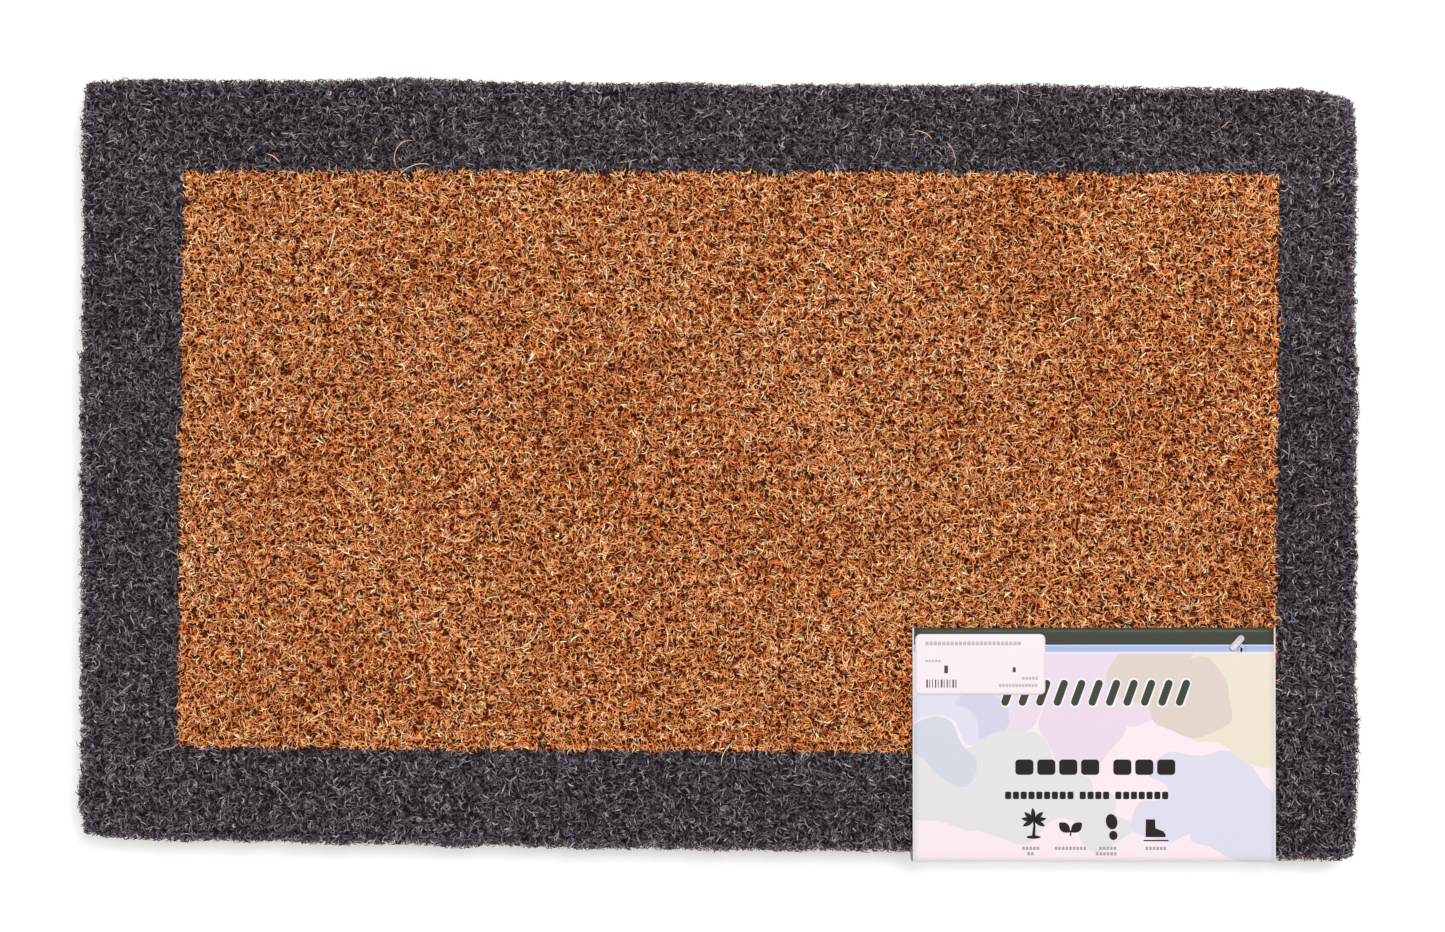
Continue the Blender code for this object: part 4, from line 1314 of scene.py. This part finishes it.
def make_ground_rows(material):
    """Thick rows of weft that run over the warps, from one side of the mat to the other."""
    chain_x = np.array([(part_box(name)[0].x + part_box(name)[1].x) / 2 for name in CHAINS])
    chain_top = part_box(CHAINS[0])[1].z
    x = np.linspace(GROUND_LOW.x + 0.6 * MM, GROUND_HIGH.x - 0.6 * MM, 190)
    off = np.abs(x[:, None] - chain_x[None, :]).min(1)
    over_chain = np.clip((9 * MM - off) / (4 * MM), 0, 1)
    low, high = GROUND_LOW.z, GROUND_HIGH.z
    under = low + (chain_top + 0.3 * MM - low) * over_chain
    from_end = np.minimum(x - GROUND_LOW.x, GROUND_HIGH.x - x)
    rounding = np.sqrt(np.clip(from_end / (3.2 * MM), 0.02, 1))
    wide = 0.49 * ROW_PITCH * rounding
    tall = (high - under) / 2 * rounding
    paths = []
    for row in range(ROW_COUNT):
        y = np.full_like(x, GROUND_LOW.y + (row + 0.5) * ROW_PITCH)
        sway = 0.3 * MM * smooth_noise(x, y, 30 * MM, 61)
        rise = 0.12 * MM * smooth_noise(x, y, 11 * MM, 62)
        path = settled_points(x, y, (high + under) / 2 + rise)
        path[:, 1] += sway
        paths.append((path, wide, tall / wide))
    name = "weft_ground_rows"
    rows = yarn_object(name, paths, material, "coir_weft", "weft_ground", sides=8, ends=0.9)


def make_hems(cord_material, twine_material):
    """The cord along each end of the ground, and the twine that binds it on."""
    for side, name in ((-1, "front"), (1, "back")):
        low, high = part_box(f"hem_cord_{name}")
        middle_y, middle_z, radius = (low.y + high.y) / 2, (low.z + high.z) / 2, (high.z - low.z) / 2
        x = np.arange(low.x, high.x, 1.3 * MM)
        path = settled_points(x, np.full_like(x, middle_y), np.full_like(x, middle_z))
        strands = plies(path, radius, HEM_TWIST)
        node = f"hem_cord_{name}"
        yarn_object(f"{node}_yarn", strands, cord_material, "coir_hem", node)

        node = f"hem_twine_{name}"
        low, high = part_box(node)
        inner = (low.y if side > 0 else high.y) + side * TWINE_RADIUS
        outer = (high.y if side > 0 else low.y) - side * TWINE_RADIUS
        stitches = node_points(node)[:, 0]
        first, last = stitches.min() + 1.1 * MM, stitches.max() - TWINE_RADIUS
        bottom, top = low.z + TWINE_RADIUS, high.z - TWINE_RADIUS
        corners = []
        for x in np.arange(first, last + 1 * MM, CHAIN_PITCH):
            corners += [(x, inner, top), (x, inner, bottom), (x, outer, bottom), (x, outer, top)]
        path = even_path(corners, 0.9 * MM)
        strands = plies(settled_points(*path.T), TWINE_RADIUS, TWINE_TWIST)
        yarn_object(f"{node}_lashing", strands, twine_material, "lashing_twine", node, sides=5)


# ---- Stage, lights and camera ----

FRAME_WIDTH_PX = 1445
CAMERA_HEIGHT = 1.30
CAMERA_FOCAL_PX = 2178.7
CAMERA_PLACE = (15.3 * MM, -4.7 * MM)
CAMERA_TILT_X = 0.0042
CAMERA_TILT_Y = 0.0095
CAMERA_ROLL = 0.0076
SENSOR_WIDTH = 36


def make_stage():
    """The white floor."""
    material = Shader("floor_white", 0.9)
    material.coated(linear((250, 250, 250)), 1.5 * MM, 0.02, (0.85, 0.95), 0.02 * MM)
    material.main.inputs["Emission Color"].default_value = (1, 1, 1, 1)
    material.main.inputs["Emission Strength"].default_value = 0.22
    bpy.ops.mesh.primitive_plane_add(size=60, location=(0, 0, -0.0002))
    floor = bpy.context.object
    floor.name = "floor"
    floor.data.materials.append(material.material)


def add_area_light(name, place, size, power):
    """A light panel that faces the middle of the mat."""
    light = bpy.data.lights.new(name, "AREA")
    light.shape = "RECTANGLE"
    light.size, light.size_y = size
    light.energy = power
    made = add_object(name, light)
    made.location = place
    made.rotation_euler = (-Vector(place)).to_track_quat("-Z", "Y").to_euler()


def make_lights():
    """Even studio light, with a key light from behind on the right and a weaker fill opposite."""
    world = bpy.data.worlds.new("studio")
    world.use_nodes = True
    world.node_tree.nodes["Background"].inputs[0].default_value = (1, 1, 1, 1)
    world.node_tree.nodes["Background"].inputs[1].default_value = 0.60
    bpy.context.scene.world = world
    add_area_light("key", (0.7, 0.9, 2.2), (1.2, 1.2), 35.5)
    add_area_light("fill", (-1.0, -0.6, 1.8), (1.6, 1.6), 7.5)


def make_camera():
    """The camera, which looks straight down from above the mat but for a slight tilt."""
    data = bpy.data.cameras.new("camera")
    data.sensor_width = SENSOR_WIDTH
    data.lens = CAMERA_FOCAL_PX / FRAME_WIDTH_PX * SENSOR_WIDTH
    camera = add_object("camera", data)
    turn = (
        Matrix.Rotation(CAMERA_ROLL, 4, "Z")
        @ Matrix.Rotation(CAMERA_TILT_Y, 4, "Y")
        @ Matrix.Rotation(CAMERA_TILT_X, 4, "X")
    )
    camera.matrix_world = Matrix.Translation((*CAMERA_PLACE, CAMERA_HEIGHT)) @ turn
    bpy.context.scene.camera = camera
    bpy.context.scene.view_settings.view_transform = "Standard"


make_camera()
make_stage()
make_lights()
natural_fibre = natural_pile_material()
dyed_fibre = dyed_pile_material()
make_bases()
make_surface(natural_fibre, dyed_fibre)
make_edge_fibres(dyed_fibre)
make_stray_hairs(natural_fibre, dyed_fibre)
make_ground_rows(yarn_material("coir_weft_yarn", (206, 158, 104), (122, 76, 38)))
make_chains(yarn_material("coir_warp_yarn", (196, 146, 94), (112, 68, 34)))
make_hems(
    yarn_material("coir_hem_yarn", (204, 162, 112), (124, 82, 44)),
    yarn_material("lashing_twine_yarn", (222, 206, 170), (150, 128, 92)),
)
make_card()
make_print()
make_slit_halo()
make_sticker()
make_pin()
